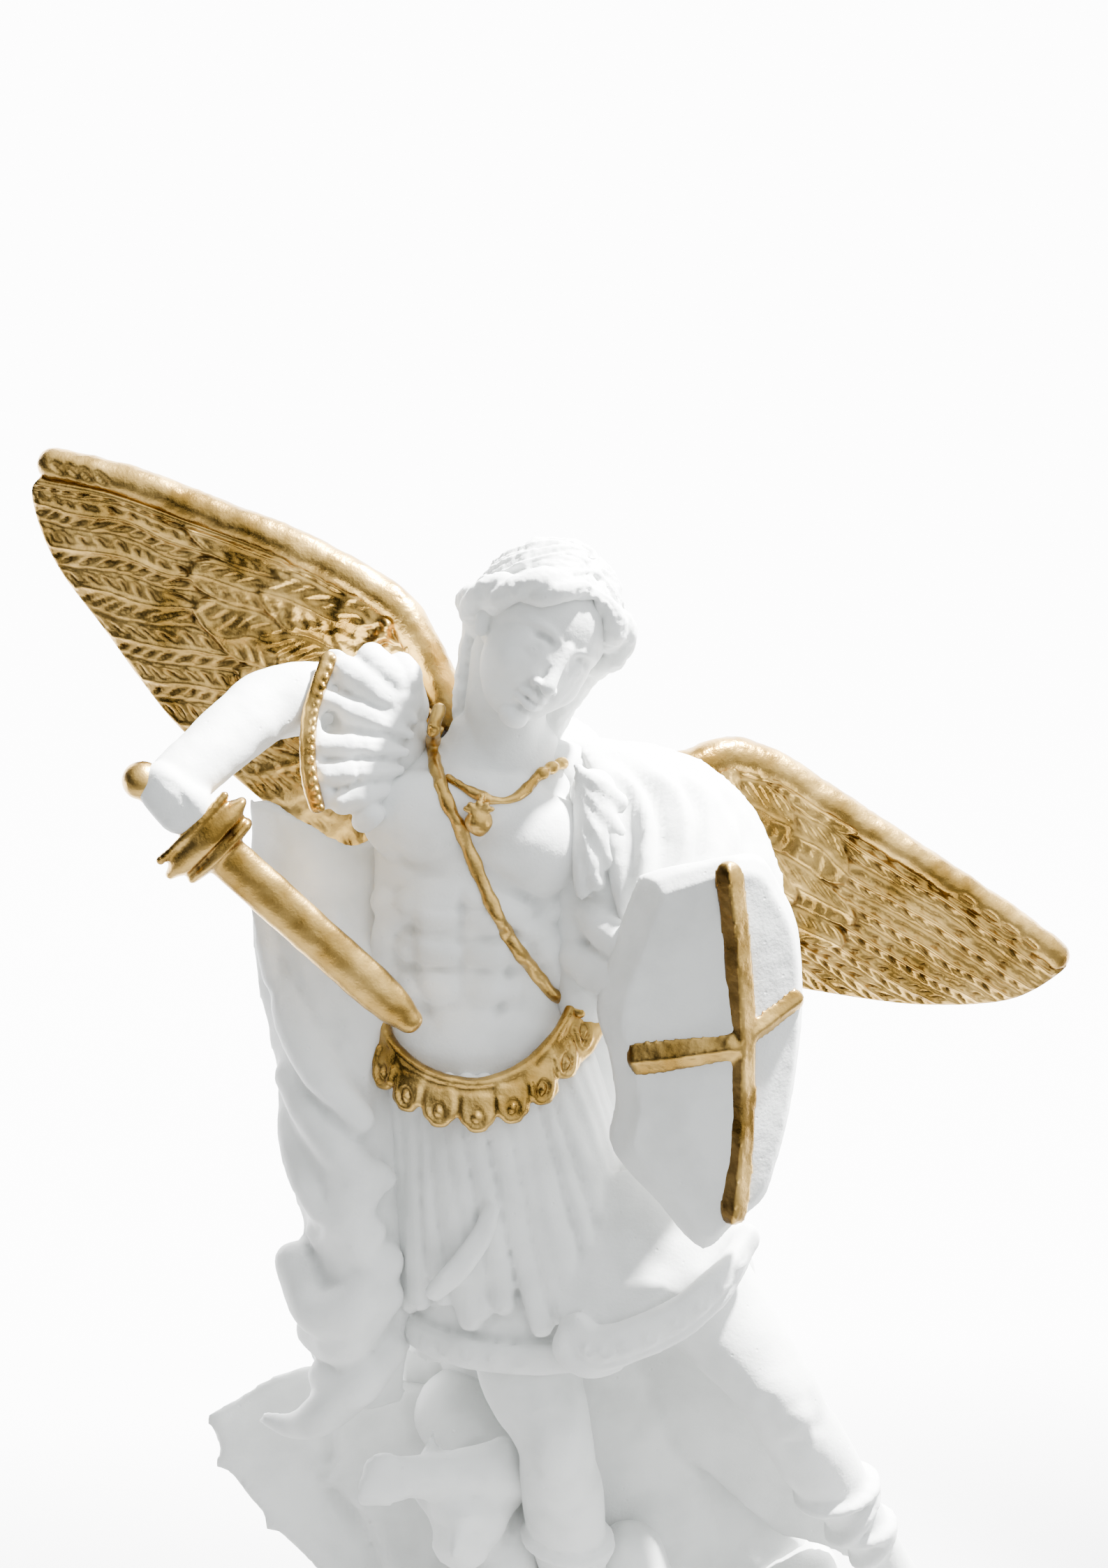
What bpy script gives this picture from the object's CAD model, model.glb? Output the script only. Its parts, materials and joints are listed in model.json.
"""The looks of a plaster statuette of a winged warrior saint, painted white and gold.
Places are millimetres on a figure 295.7 mm tall, with its underside at zero, times MM."""

import math
import random

import bmesh
import bpy
import numpy as np
from mathutils import Matrix, Vector, noise
from mathutils.bvhtree import BVHTree
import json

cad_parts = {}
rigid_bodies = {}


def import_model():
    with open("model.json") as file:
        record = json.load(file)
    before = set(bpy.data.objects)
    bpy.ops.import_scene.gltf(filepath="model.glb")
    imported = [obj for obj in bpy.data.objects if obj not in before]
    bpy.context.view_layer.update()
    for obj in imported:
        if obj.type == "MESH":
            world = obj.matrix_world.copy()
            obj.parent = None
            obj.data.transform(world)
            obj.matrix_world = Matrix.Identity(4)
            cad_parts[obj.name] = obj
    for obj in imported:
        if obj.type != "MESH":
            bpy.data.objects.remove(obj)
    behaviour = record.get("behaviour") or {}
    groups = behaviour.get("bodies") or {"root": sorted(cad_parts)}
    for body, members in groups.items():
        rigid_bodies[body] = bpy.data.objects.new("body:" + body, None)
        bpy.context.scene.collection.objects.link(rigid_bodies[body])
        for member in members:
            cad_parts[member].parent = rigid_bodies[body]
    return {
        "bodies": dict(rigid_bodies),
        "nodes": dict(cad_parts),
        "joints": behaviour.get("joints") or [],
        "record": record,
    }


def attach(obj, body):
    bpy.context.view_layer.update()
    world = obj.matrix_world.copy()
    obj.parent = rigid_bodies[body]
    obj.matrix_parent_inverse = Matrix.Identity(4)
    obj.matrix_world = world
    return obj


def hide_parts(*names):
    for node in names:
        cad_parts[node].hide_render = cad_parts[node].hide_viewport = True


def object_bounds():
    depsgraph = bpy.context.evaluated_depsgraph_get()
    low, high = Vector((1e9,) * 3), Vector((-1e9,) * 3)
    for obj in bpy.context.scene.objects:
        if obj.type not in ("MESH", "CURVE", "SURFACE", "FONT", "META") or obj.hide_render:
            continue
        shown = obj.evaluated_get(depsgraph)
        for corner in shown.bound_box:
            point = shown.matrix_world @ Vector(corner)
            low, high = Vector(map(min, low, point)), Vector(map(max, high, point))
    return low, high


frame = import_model()
cad_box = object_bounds()

# The camera, the lights and the white sweep of paper
# The picture was taken from a little above, at the height of a seated eye, close to the figure.
# Hard light falls from high on the right, a little behind, and burns out the tops. The room is
# bright at the upper right and fills in the rest.
MM = (cad_box[1].z - cad_box[0].z) / 295.7
EYE = Vector((0.0, -538.5, 369.3))
LOOKS_AT = Vector((0.0, 0.0, 235.0))
LENS = 94.37
KEY_PLACE, KEY_AIM = Vector((270.0, 66.0, 760.0)), Vector((0.0, 0.0, 185.0))
KEY_WATTS, KEY_RADIUS, KEY_CONE = 330, 22, 37
ROOM_COLOUR = (0.96, 0.99, 1.0, 1.0)
ROOM_BRIGHT_SIDE = (0.60, -0.20, 0.77)
ROOM_DIM, ROOM_BRIGHT = 0.04, 3.3
PAPER_WHITE = (0.22, 0.22, 0.22, 1.0)
PAPER_HALF_WIDTH, PAPER_NEAR, PAPER_TOP = 1600, -900, 1600
PAPER_BEND_FROM, PAPER_BEND_RADIUS = 700, 500
PAPER_GLOW, GLOW_FROM, GLOW_FULL = 12.0, 20, 260
camera = bpy.data.objects.new("camera", bpy.data.cameras.new("camera"))
bpy.context.scene.collection.objects.link(camera)
camera.data.lens = LENS
camera.data.sensor_width = 36.0
camera.data.sensor_fit = "HORIZONTAL"
camera.data.clip_start = 0.01
camera.location = EYE * MM
camera.rotation_euler = (LOOKS_AT - EYE).to_track_quat("-Z", "Y").to_euler()
bpy.context.scene.camera = camera

key = bpy.data.objects.new("window_light", bpy.data.lights.new("window_light", "SPOT"))
key.data.energy = KEY_WATTS
key.data.shadow_soft_size = KEY_RADIUS * MM
key.data.spot_size = math.radians(KEY_CONE)
key.data.spot_blend = 0.3
key.data.color = (1.0, 1.0, 0.98)
key.location = KEY_PLACE * MM
key.rotation_euler = (KEY_AIM - KEY_PLACE).to_track_quat("-Z", "Y").to_euler()
bpy.context.scene.collection.objects.link(key)

room = bpy.data.worlds.new("room")
room.use_nodes = True
room_nodes, room_links = room.node_tree.nodes, room.node_tree.links
room_nodes["Background"].inputs["Color"].default_value = ROOM_COLOUR
room_place = room_nodes.new("ShaderNodeTexCoord")
room_side = room_nodes.new("ShaderNodeVectorMath")
room_side.operation = "DOT_PRODUCT"
room_side.inputs[1].default_value = ROOM_BRIGHT_SIDE
room_glow = room_nodes.new("ShaderNodeMapRange")
room_glow.inputs["From Min"].default_value = -0.10
room_glow.inputs["To Min"].default_value = ROOM_DIM
room_glow.inputs["To Max"].default_value = ROOM_BRIGHT
room_links.new(room_place.outputs["Generated"], room_side.inputs[0])
room_links.new(room_side.outputs["Value"], room_glow.inputs["Value"])
room_links.new(room_glow.outputs["Result"], room_nodes["Background"].inputs["Strength"])
bpy.context.scene.world = room

paper_mesh = bpy.data.meshes.new("paper_sweep")
sweep = bmesh.new()
paper_line = [(PAPER_NEAR + step * 200, 0.0) for step in range(8)]
for step in range(16):
    a = math.radians(step * 90 / 16)
    paper_line.append((PAPER_BEND_FROM + PAPER_BEND_RADIUS * math.sin(a),
                       PAPER_BEND_RADIUS * (1 - math.cos(a))))
paper_line.append((PAPER_BEND_FROM + PAPER_BEND_RADIUS, PAPER_TOP))
rows = [[sweep.verts.new(Vector((x, y, z)) * MM) for x in (-PAPER_HALF_WIDTH, PAPER_HALF_WIDTH)]
        for y, z in paper_line]
for low_row, high_row in zip(rows, rows[1:]):
    sweep.faces.new((low_row[0], low_row[1], high_row[1], high_row[0]))
sweep.to_mesh(paper_mesh)
sweep.free()
paper = bpy.data.objects.new("paper_sweep", paper_mesh)
bpy.context.scene.collection.objects.link(paper)
paper_look = bpy.data.materials.new("white_paper")
paper_look.use_nodes = True
paper_nodes, paper_links = paper_look.node_tree.nodes, paper_look.node_tree.links
paper_shader = paper_nodes["Principled BSDF"]
paper_shader.inputs["Base Color"].default_value = PAPER_WHITE
paper_shader.inputs["Roughness"].default_value = 0.9
paper_shader.inputs["Emission Color"].default_value = (1.0, 1.0, 1.0, 1.0)
paper_place = paper_nodes.new("ShaderNodeTexCoord")
paper_split = paper_nodes.new("ShaderNodeSeparateXYZ")
paper_lit = paper_nodes.new("ShaderNodeMapRange")
paper_lit.inputs["From Min"].default_value = GLOW_FROM * MM
paper_lit.inputs["From Max"].default_value = GLOW_FULL * MM
paper_lit.inputs["To Min"].default_value = 0.0
paper_lit.inputs["To Max"].default_value = PAPER_GLOW
paper_links.new(paper_place.outputs["Object"], paper_split.inputs["Vector"])
paper_links.new(paper_split.outputs["Y"], paper_lit.inputs["Value"])
paper_links.new(paper_lit.outputs["Result"], paper_shader.inputs["Emission Strength"])
paper_mesh.materials.append(paper_look)


# The rocks and the low oval plinth
# Broken rock carries the demon and the saint's left foot. It is cast with the plinth and the
# figure in one pour of plaster, and brushed with matt white paint.
PLINTH_LENGTH = 164.0
PLINTH_DEPTH = 92.0
PLINTH_THICKNESS = 10.0
WHITE = (0.72, 0.73, 0.72, 1.0)
WHITE_THIN = (0.62, 0.63, 0.62, 1.0)
HOLLOW_GREY = (0.22, 0.23, 0.225, 1.0)


def smooth(low, high, value):
    """0 below low, 1 above high, and a soft step between them."""
    t = np.clip((value - low) / (high - low), 0.0, 1.0)
    return t * t * (3 - 2 * t)


def through(points, steps):
    """Points on a smooth curve through the given rows of numbers, steps to a span."""
    rows = [Vector(p) for p in points]
    rows = [2 * rows[0] - rows[1]] + rows + [2 * rows[-1] - rows[-2]]
    found = []
    for a, b, c, d in zip(rows, rows[1:], rows[2:], rows[3:]):
        for i in range(steps):
            t = i / steps
            found.append(
                0.5 * (2 * b + (c - a) * t + (2 * a - 5 * b + 4 * c - d) * t * t
                       + (3 * b - a - 3 * c + d) * t ** 3)
            )
    return found + [rows[-2]]


def on_curve(points, share):
    """The point at a share, 0 to 1, of a row of curve points."""
    place = min(max(share, 0.0), 1.0) * (len(points) - 1)
    i = min(int(place), len(points) - 2)
    return points[i].lerp(points[i + 1], place - i)


def skin(clay, rings):
    """Faces between rings of as many points each, closed at both ends."""
    made = [[clay.verts.new(p) for p in ring] for ring in rings]
    count = len(rings[0])
    for low, high in zip(made, made[1:]):
        for i in range(count):
            j = (i + 1) % count
            clay.faces.new((low[i], low[j], high[j], high[i]))
    clay.faces.new(made[0][::-1])
    clay.faces.new(made[-1])


def ball(clay, centre, radii, frame=None):
    """An ellipsoid: centre and half sizes, in a frame of its own if one is given."""
    place, axes = Vector(centre), Matrix.Identity(3)
    if frame:
        origin, axes = frame
        place = Vector(origin) + axes @ place
    rings = []
    for i in range(1, 20):
        low = math.pi * i / 20
        ring = []
        for k in range(32):
            a = 2 * math.pi * k / 32
            p = Vector((math.sin(low) * math.cos(a), math.sin(low) * math.sin(a), -math.cos(low)))
            ring.append(place + axes @ Vector(x * r for x, r in zip(p, radii)))
        rings.append(ring)
    skin(clay, rings)


def limb(clay, knots, sides=20, steps=8, across=None, frame=None, dome=True, square=1.0):
    """A tapered form along knots (x, y, z, half width[, half thickness]), with rounded ends.
    across is the direction of the width, or one direction for each end. A square below 1
    makes the round section more like a box."""
    rows = [k if len(k) == 5 else (*k, k[3]) for k in knots]
    if frame:
        origin, axes = frame
        size = axes.determinant() ** (1 / 3)
        rows = [(*(Vector(origin) + axes @ Vector(r[:3])), r[3] * size, r[4] * size) for r in rows]
    curve = through([(r[0], r[1], r[2]) for r in rows], steps)
    sizes = through([(r[3], r[4], 0) for r in rows], steps)
    first, last = across if across and isinstance(across[0], (tuple, Vector)) else (across, across)
    first, last = Vector(first or (1, 0.12, 0)), Vector(last or (1, 0.12, 0))
    if frame:
        first, last = axes @ first, axes @ last
    stations = []
    for i, (p, size) in enumerate(zip(curve, sizes)):
        tangent = (curve[min(i + 1, len(curve) - 1)] - curve[max(i - 1, 0)]).normalized()
        wide = first.lerp(last, i / (len(curve) - 1))
        wide = (wide - tangent * wide.dot(tangent)).normalized()
        stations.append((p, tangent, wide, tangent.cross(wide), size[0], size[1]))
    if dome:
        stations = rounded(stations)
    rings = []
    for p, _, wide, deep, half, thick in stations:
        ring = []
        for k in range(sides):
            angle = 2 * math.pi * k / sides
            c, s = math.cos(angle), math.sin(angle)
            c, s = math.copysign(abs(c) ** square, c), math.copysign(abs(s) ** square, s)
            ring.append(p + wide * half * c + deep * thick * s)
        rings.append(ring)
    skin(clay, rings)
    return curve


def rounded(stations):
    """The stations with a dome of five more at each end."""
    ends = []
    for (p, tangent, wide, deep, half, thick), way in ((stations[0], -1), (stations[-1], 1)):
        reach = min(half, thick)
        dome = []
        for angle in (22, 42, 60, 75, 86):
            out, shrink = math.sin(math.radians(angle)), math.cos(math.radians(angle))
            dome.append(
                (p + tangent * (way * reach * out), tangent, wide, deep, half * shrink,
                 thick * shrink)
            )
        ends.append(dome)
    return ends[0][::-1] + stations + ends[1]


def closed(clay):
    """A new object of the clay's own faces, still in millimetres."""
    bmesh.ops.recalc_face_normals(clay, faces=clay.faces)
    mesh = bpy.data.meshes.new("clay")
    clay.to_mesh(mesh)
    clay.free()
    piece = bpy.data.objects.new("clay", mesh)
    bpy.context.scene.collection.objects.link(piece)
    return piece


def fused(name, clay, grid, soften=2):
    """The clay's overlapping shapes fused to one skin of even small faces, grid mm across."""
    piece = closed(clay)
    piece.name = name
    fuse = piece.modifiers.new("fuse", "REMESH")
    fuse.mode = "VOXEL"
    fuse.voxel_size = grid
    soft = piece.modifiers.new("soften", "SMOOTH")
    soft.factor = 0.5
    soft.iterations = soften
    graph = bpy.context.evaluated_depsgraph_get()
    mesh = bpy.data.meshes.new_from_object(piece.evaluated_get(graph))
    piece.modifiers.clear()
    piece.data = mesh
    mesh.name = name
    drop_pockets(mesh)
    return piece


def drop_pockets(mesh):
    """Takes away the skins of hollows that are sealed inside: they face inwards."""
    count = len(mesh.vertices)
    edges = np.empty(len(mesh.edges) * 2, dtype=np.int64)
    mesh.edges.foreach_get("vertices", edges)
    edges = edges.reshape(-1, 2)
    island = np.arange(count)
    while True:
        least = np.minimum(island[edges[:, 0]], island[edges[:, 1]])
        before = island.copy()
        np.minimum.at(island, edges[:, 0], least)
        np.minimum.at(island, edges[:, 1], least)
        island = island[island]
        if (island == before).all():
            break
    names, sizes = np.unique(island, return_counts=True)
    if len(names) == 1:
        return
    volume = dict.fromkeys(names.tolist(), 0.0)
    for face in mesh.polygons:
        a = mesh.vertices[face.vertices[0]].co
        volume[int(island[face.vertices[0]])] += a.dot(face.normal) * face.area
    work = bmesh.new()
    work.from_mesh(mesh)
    work.verts.ensure_lookup_table()
    inner = {n for n in names.tolist() if volume[n] < 0}
    gone = [v for v in work.verts if int(island[v.index]) in inner]
    bmesh.ops.delete(work, geom=gone, context="VERTS")
    work.to_mesh(mesh)
    work.free()


class Carving:
    """A fused piece being worked on: its points, the way each one faces, and how far out
    each is to move. Strokes are felt where the surface lies near their path."""

    def __init__(self, piece):
        self.piece = piece
        mesh = piece.data
        self.at = np.empty(len(mesh.vertices) * 3)
        mesh.vertices.foreach_get("co", self.at)
        self.at = self.at.reshape(-1, 3)
        self.way = np.empty(len(mesh.vertices) * 3)
        mesh.vertex_normals.foreach_get("vector", self.way)
        self.way = self.way.reshape(-1, 3)
        self.push = np.zeros(len(self.at))

    def stroke(self, path, width, height, deep=0.35, faces=None, ends=4.0):
        """A ridge, or a groove where height is below zero, along a path. deep is how much of
        the distance from front to back counts."""
        squash = np.array((1.0, deep, 1.0))
        line = np.array([tuple(p)[:3] for p in through([tuple(p)[:3] for p in path], 5)])
        reach = 2.6 * width / squash
        low, high = line.min(0) - reach, line.max(0) + reach
        near = np.flatnonzero(((self.at > low) & (self.at < high)).all(axis=1))
        if not len(near):
            return
        spots, line = self.at[near] * squash, line * squash
        best, share = np.full(len(near), 1e9), np.zeros(len(near))
        for i, (a, b) in enumerate(zip(line, line[1:])):
            run = b - a
            t = np.clip((spots - a) @ run / max(run @ run, 1e-9), 0, 1)
            gap = np.linalg.norm(spots - a - t[:, None] * run, axis=1)
            closer = gap < best
            best[closer] = gap[closer]
            share[closer] = (i + t[closer]) / (len(line) - 1)
        felt = height * np.exp(-(best / width) ** 2)
        felt *= np.minimum(1.0, 0.12 + ends * np.minimum(share, 1 - share))
        if faces:
            felt *= np.clip(self.way[near] @ np.array(faces) * 2 + 0.3, 0, 1)
        self.push[near] += felt

    def dent(self, centre, width, height, deep=1.0):
        """A round dent, or a round rise."""
        squash = np.array((1.0, deep, 1.0))
        gap = np.linalg.norm((self.at - np.array(centre)) * squash, axis=1)
        self.push += height * np.exp(-(gap / width) ** 2)

    def lumps(self, size, height, seed):
        """The slow unevenness of hand work and of a worn mould."""
        shift = Vector((seed * 7.3, seed * 3.1, 0))
        self.push += height * np.array(
            [noise.noise(Vector(p) / size + shift) for p in self.at.tolist()]
        )

    def done(self, look):
        """Moves the points, marks the hollows, and sets the piece in metres on the statue."""
        mesh = self.piece.data
        self.at += self.way * self.push[:, None]
        mesh.vertices.foreach_set("co", (self.at * MM).ravel())
        mesh.update()
        finish(self.piece, look)


def finish(piece, look):
    """Marks the hollows of a piece, paints it, and lets it stand for the cast."""
    mesh = piece.data
    count = len(mesh.vertices)
    edges = np.empty(len(mesh.edges) * 2, dtype=np.int64)
    mesh.edges.foreach_get("vertices", edges)
    a, b = edges.reshape(-1, 2).T
    at = np.empty(count * 3)
    mesh.vertices.foreach_get("co", at)
    at = at.reshape(-1, 3)
    way = np.empty(count * 3)
    mesh.vertex_normals.foreach_get("vector", way)
    way = way.reshape(-1, 3)
    links = np.maximum(np.bincount(a, minlength=count) + np.bincount(b, minlength=count), 1)
    length = np.linalg.norm(at[a] - at[b], axis=1).mean()

    def around(values):
        total = np.bincount(a, values[b], count) + np.bincount(b, values[a], count)
        return total / links

    mean = np.stack([around(at[:, i]) for i in range(3)], axis=1)
    hollow = ((mean - at) * way).sum(axis=1) / length
    for _ in range(5):
        hollow = 0.4 * hollow + 0.6 * around(hollow)
    mark = mesh.attributes.new("hollow", "FLOAT", "POINT")
    mark.data.foreach_set("value", np.clip(hollow * 4.0, -1, 1).astype(np.float32))
    mesh.polygons.foreach_set("use_smooth", np.ones(len(mesh.polygons), dtype=bool))
    mesh.materials.clear()
    mesh.materials.append(look)
    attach(piece, "root")
    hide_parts("statue")


def white_paint(name, grain=1.0):
    """Matt white paint brushed on plaster: a fine sandy grain, pinholes left by air bubbles,
    a little grey in the hollows, and uneven gloss."""
    look = bpy.data.materials.new(name)
    look.use_nodes = True
    nodes, links = look.node_tree.nodes, look.node_tree.links
    shader = nodes["Principled BSDF"]
    shader.inputs["Specular IOR Level"].default_value = 0.35
    place = nodes.new("ShaderNodeTexCoord")

    def speckle(kind, scale, detail):
        node = nodes.new(kind)
        links.new(place.outputs["Object"], node.inputs["Vector"])
        node.inputs["Scale"].default_value = scale / MM / 1000
        if detail is not None:
            node.inputs["Detail"].default_value = detail
        return node

    cloud = speckle("ShaderNodeTexNoise", 90, 4.0)
    tone = nodes.new("ShaderNodeMix")
    tone.data_type = "RGBA"
    tone.inputs["A"].default_value = WHITE_THIN
    tone.inputs["B"].default_value = WHITE
    tone_range = nodes.new("ShaderNodeMapRange")
    tone_range.inputs["From Min"].default_value = 0.30
    tone_range.inputs["From Max"].default_value = 0.55
    links.new(cloud.outputs["Fac"], tone_range.inputs["Value"])
    links.new(tone_range.outputs["Result"], tone.inputs["Factor"])
    mark = nodes.new("ShaderNodeAttribute")
    mark.attribute_name = "hollow"
    dust_range = nodes.new("ShaderNodeMapRange")
    dust_range.inputs["From Min"].default_value = 0.08
    dust_range.inputs["From Max"].default_value = 0.55
    dust_range.inputs["To Max"].default_value = 0.50
    links.new(mark.outputs["Fac"], dust_range.inputs["Value"])
    dust = nodes.new("ShaderNodeMix")
    dust.data_type = "RGBA"
    dust.inputs["B"].default_value = HOLLOW_GREY
    links.new(dust_range.outputs["Result"], dust.inputs["Factor"])
    links.new(tone.outputs["Result"], dust.inputs["A"])
    links.new(dust.outputs["Result"], shader.inputs["Base Color"])
    gloss = nodes.new("ShaderNodeMapRange")
    gloss.inputs["To Min"].default_value = 0.50
    gloss.inputs["To Max"].default_value = 0.78
    links.new(cloud.outputs["Fac"], gloss.inputs["Value"])
    links.new(gloss.outputs["Result"], shader.inputs["Roughness"])

    sand = speckle("ShaderNodeTexNoise", 1500, 2.0)
    sand_bump = nodes.new("ShaderNodeBump")
    sand_bump.inputs["Strength"].default_value = 0.16 * grain
    sand_bump.inputs["Distance"].default_value = 0.00035 * MM * 1000
    links.new(sand.outputs["Fac"], sand_bump.inputs["Height"])
    holes = speckle("ShaderNodeTexVoronoi", 260, None)
    hole_range = nodes.new("ShaderNodeMapRange")
    hole_range.inputs["From Min"].default_value = 0.0
    hole_range.inputs["From Max"].default_value = 0.10
    links.new(holes.outputs["Distance"], hole_range.inputs["Value"])
    hole_bump = nodes.new("ShaderNodeBump")
    hole_bump.inputs["Strength"].default_value = 0.35 * grain
    hole_bump.inputs["Distance"].default_value = 0.0003 * MM * 1000
    links.new(hole_range.outputs["Result"], hole_bump.inputs["Height"])
    links.new(sand_bump.outputs["Normal"], hole_bump.inputs["Normal"])
    links.new(hole_bump.outputs["Normal"], shader.inputs["Normal"])
    return look


def rock(clay, centre, size, seed):
    """A broken lump of rock: a ball cut by flat planes that face every way."""
    chance = random.Random(seed)
    planes = []
    for _ in range(15):
        n = Vector((chance.gauss(0, 1), chance.gauss(0, 1), chance.gauss(0, 1))).normalized()
        planes.append((n, chance.uniform(0.72, 1.0)))
    rings = []
    for i in range(1, 30):
        low = math.pi * i / 30
        ring = []
        for k in range(52):
            a = 2 * math.pi * k / 52
            way = Vector((math.sin(low) * math.cos(a), math.sin(low) * math.sin(a), -math.cos(low)))
            reach = min([1.08] + [d / n.dot(way) for n, d in planes if n.dot(way) > 0.2])
            ring.append(Vector(centre) + Vector(c * r * reach for c, r in zip(way, size)))
        rings.append(ring)
    skin(clay, rings)


white_rock = white_paint("white_paint_rock", 1.5)
clay = bmesh.new()
for seed, (centre, size) in enumerate((
    ((-4, 6, 18), (56, 32, 20)), ((-34, -8, 22), (26, 24, 18)), ((20, -16, 22), (34, 22, 17)),
    ((-8, -22, 26), (24, 18, 16)), ((54, -2, 24), (26, 30, 22)), ((63, -10, 42), (17, 22, 24)),
    ((46, 8, 40), (22, 22, 30)), ((4, 18, 36), (40, 16, 30)), ((-52, 6, 18), (20, 20, 16)),
    ((-26, 14, 36), (24, 16, 26)), ((4, -22, 34), (13, 14, 14)), ((-58, -14, 12), (12, 12, 9)),
    ((38, -30, 12), (16, 10, 9)), ((-20, -34, 12), (18, 8, 9)), ((70, 14, 14), (10, 16, 12)),
)):
    rock(clay, centre, size, seed)
outline = []
for k in range(80):
    a = 2 * math.pi * k / 80
    wobble = 1 + 0.018 * math.sin(3 * a + 1) + 0.012 * math.sin(7 * a)
    x = math.copysign(abs(math.cos(a)) ** 0.8, math.cos(a)) * PLINTH_LENGTH / 2 * wobble
    y = math.copysign(abs(math.sin(a)) ** 0.8, math.sin(a)) * PLINTH_DEPTH / 2 * wobble
    outline.append((x, y))
skin(clay, [[Vector((x * share, y * share, height * PLINTH_THICKNESS)) for x, y in outline]
            for share, height in ((1.0, -0.3), (1.0, 0.0), (1.0, 0.75), (0.97, 0.95), (0.9, 1.05))])
base = Carving(fused("rocks_and_plinth", clay, 2.0, soften=1))
base.lumps(9.0, 0.9, 1)
base.lumps(2.6, 0.35, 2)
base.push *= smooth(PLINTH_THICKNESS - 2, PLINTH_THICKNESS + 3, base.at[:, 2])
base.at[:, 2] = np.maximum(base.at[:, 2], 0.0)
base.done(white_rock)


# The fallen demon
# It crouches under the saint's right foot with one arm thrown up, and its bat's wings rise on
# both sides. It is cast with the rest; only the fine lines of its hide and wings are cut in.
BAT_WING_THICKNESS = 3.6


def slab(clay, front, back):
    """A closed plate between two grids of points with the same rows and columns."""
    sheets = [[[clay.verts.new(p) for p in row] for row in grid] for grid in (front, back)]
    rows, columns = len(front), len(front[0])
    for i in range(rows - 1):
        for j in range(columns - 1):
            a, b = sheets
            clay.faces.new((a[i][j], a[i][j + 1], a[i + 1][j + 1], a[i + 1][j]))
            clay.faces.new((b[i][j], b[i + 1][j], b[i + 1][j + 1], b[i][j + 1]))
    border = (
        [(0, j) for j in range(columns)]
        + [(i, columns - 1) for i in range(1, rows)]
        + [(rows - 1, j) for j in range(columns - 2, -1, -1)]
        + [(i, 0) for i in range(rows - 2, 0, -1)]
    )
    for (i, j), (k, m) in zip(border, border[1:] + border[:1]):
        a, b = sheets
        clay.faces.new((a[i][j], b[i][j], b[k][m], a[k][m]))


def sheet(clay, rows, thickness, facing=(0, -1, 0)):
    """A bent plate of one thickness around a grid of middle points.
    facing says roughly which way its front looks."""
    look = Vector(facing)
    front, back = [], []
    for i, row in enumerate(rows):
        ahead, behind = [], []
        for j, p in enumerate(row):
            down = rows[min(i + 1, len(rows) - 1)][j] - rows[max(i - 1, 0)][j]
            along = row[min(j + 1, len(row) - 1)] - row[max(j - 1, 0)]
            normal = along.cross(down)
            if normal.length < 1e-9:
                normal = look.copy()
            normal.normalize()
            if normal.dot(look) < 0:
                normal.negate()
            ahead.append(p + normal * thickness / 2)
            behind.append(p - normal * thickness / 2)
        front.append(ahead)
        back.append(behind)
    slab(clay, front, back)


def bat_wing(clay, hub, tips, root, sag):
    """A membrane hung between finger bones that spread from the hub. sag is how far its
    edge draws in between the tips."""
    centre = Vector(hub)
    edge = []
    for a, b in zip(tips, tips[1:]):
        for k in range(10):
            t = k / 10
            reach = 1 - sag * math.sin(math.pi * t)
            edge.append(Vector(root).lerp(Vector(a).lerp(Vector(b), t), reach))
    edge.append(Vector(tips[-1]))
    rows = []
    for p in edge:
        rows.append([centre.lerp(p, j / 12) + Vector((0, 1.8 * math.sin(math.pi * j / 12), 0))
                     for j in range(13)])
    sheet(clay, rows, BAT_WING_THICKNESS)
    bones = []
    behind = Vector((0, 1.0, 0))
    for tip in tips:
        end = Vector(tip)
        middle = centre.lerp(end, 0.5) + Vector((0, 1.6, 0.6))
        bones.append(limb(clay, [(*(centre + behind), 2.4), (*middle, 1.9), (*end, 1.6)]))
    return bones


white_skin = white_paint("white_paint_figure", 1.0)
clay = bmesh.new()
limb(clay, [(16, 8, 34, 13), (12, 8, 48, 12), (4, 8, 64, 11), (-6, 7, 80, 12.5),
            (-12, 6, 93, 11.5)], sides=26)
ball(clay, (-18.5, 6, 101), (10, 9.5, 10))
limb(clay, [(-14, 2, 94, 6), (-16, -6, 93, 6)])
ball(clay, (-16.8, -13, 91), (8.6, 9.6, 10))
ball(clay, (-18.2, -19.5, 85.5), (5.8, 4.8, 5.2))
limb(clay, [(-23, -19, 92.5, 1.6), (-18, -22.4, 93.2, 1.8), (-12.5, -19.5, 92, 1.6)])
limb(clay, [(-18.5, -22.5, 91, 1.2), (-19.4, -25.2, 87.6, 1.8)])
for side in (-1, 1):
    limb(clay, [(-16.8 + side * 5, -14, 98, 2.4), (-16.8 + side * 7.4, -15, 102, 1.9),
                (-16.8 + side * 7.2, -13, 106, 0.9)])
    limb(clay, [(-16.8 + side * 8, -11, 90, 2.2), (-16.8 + side * 12.5, -9, 93, 0.9)])
limb(clay, [(-18, 2, 100, 8), (-9, -6, 96, 6.8), (-12, -14, 98.5, 6), (-22, -18, 99.5, 4.8),
            (-30, -20, 100.5, 4.0)])
ball(clay, (-33, -20.5, 101.5), (4.8, 3.2, 4.0))
for k in range(4):
    x = -36.5 + 2.4 * k
    limb(clay, [(x + 1, -21, 102 + 0.4 * k, 1.5), (x - 0.8, -23.5, 99, 1.4),
                (x - 0.2, -24, 95.8 + 0.5 * k, 0.8)])
limb(clay, [(-6, 2, 86, 8), (-12, -16, 70, 6.5), (-14, -27, 56, 5.2), (-18, -33, 44, 4.5)])
ball(clay, (-19, -35, 41), (5.5, 6.5, 3.5))
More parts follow.
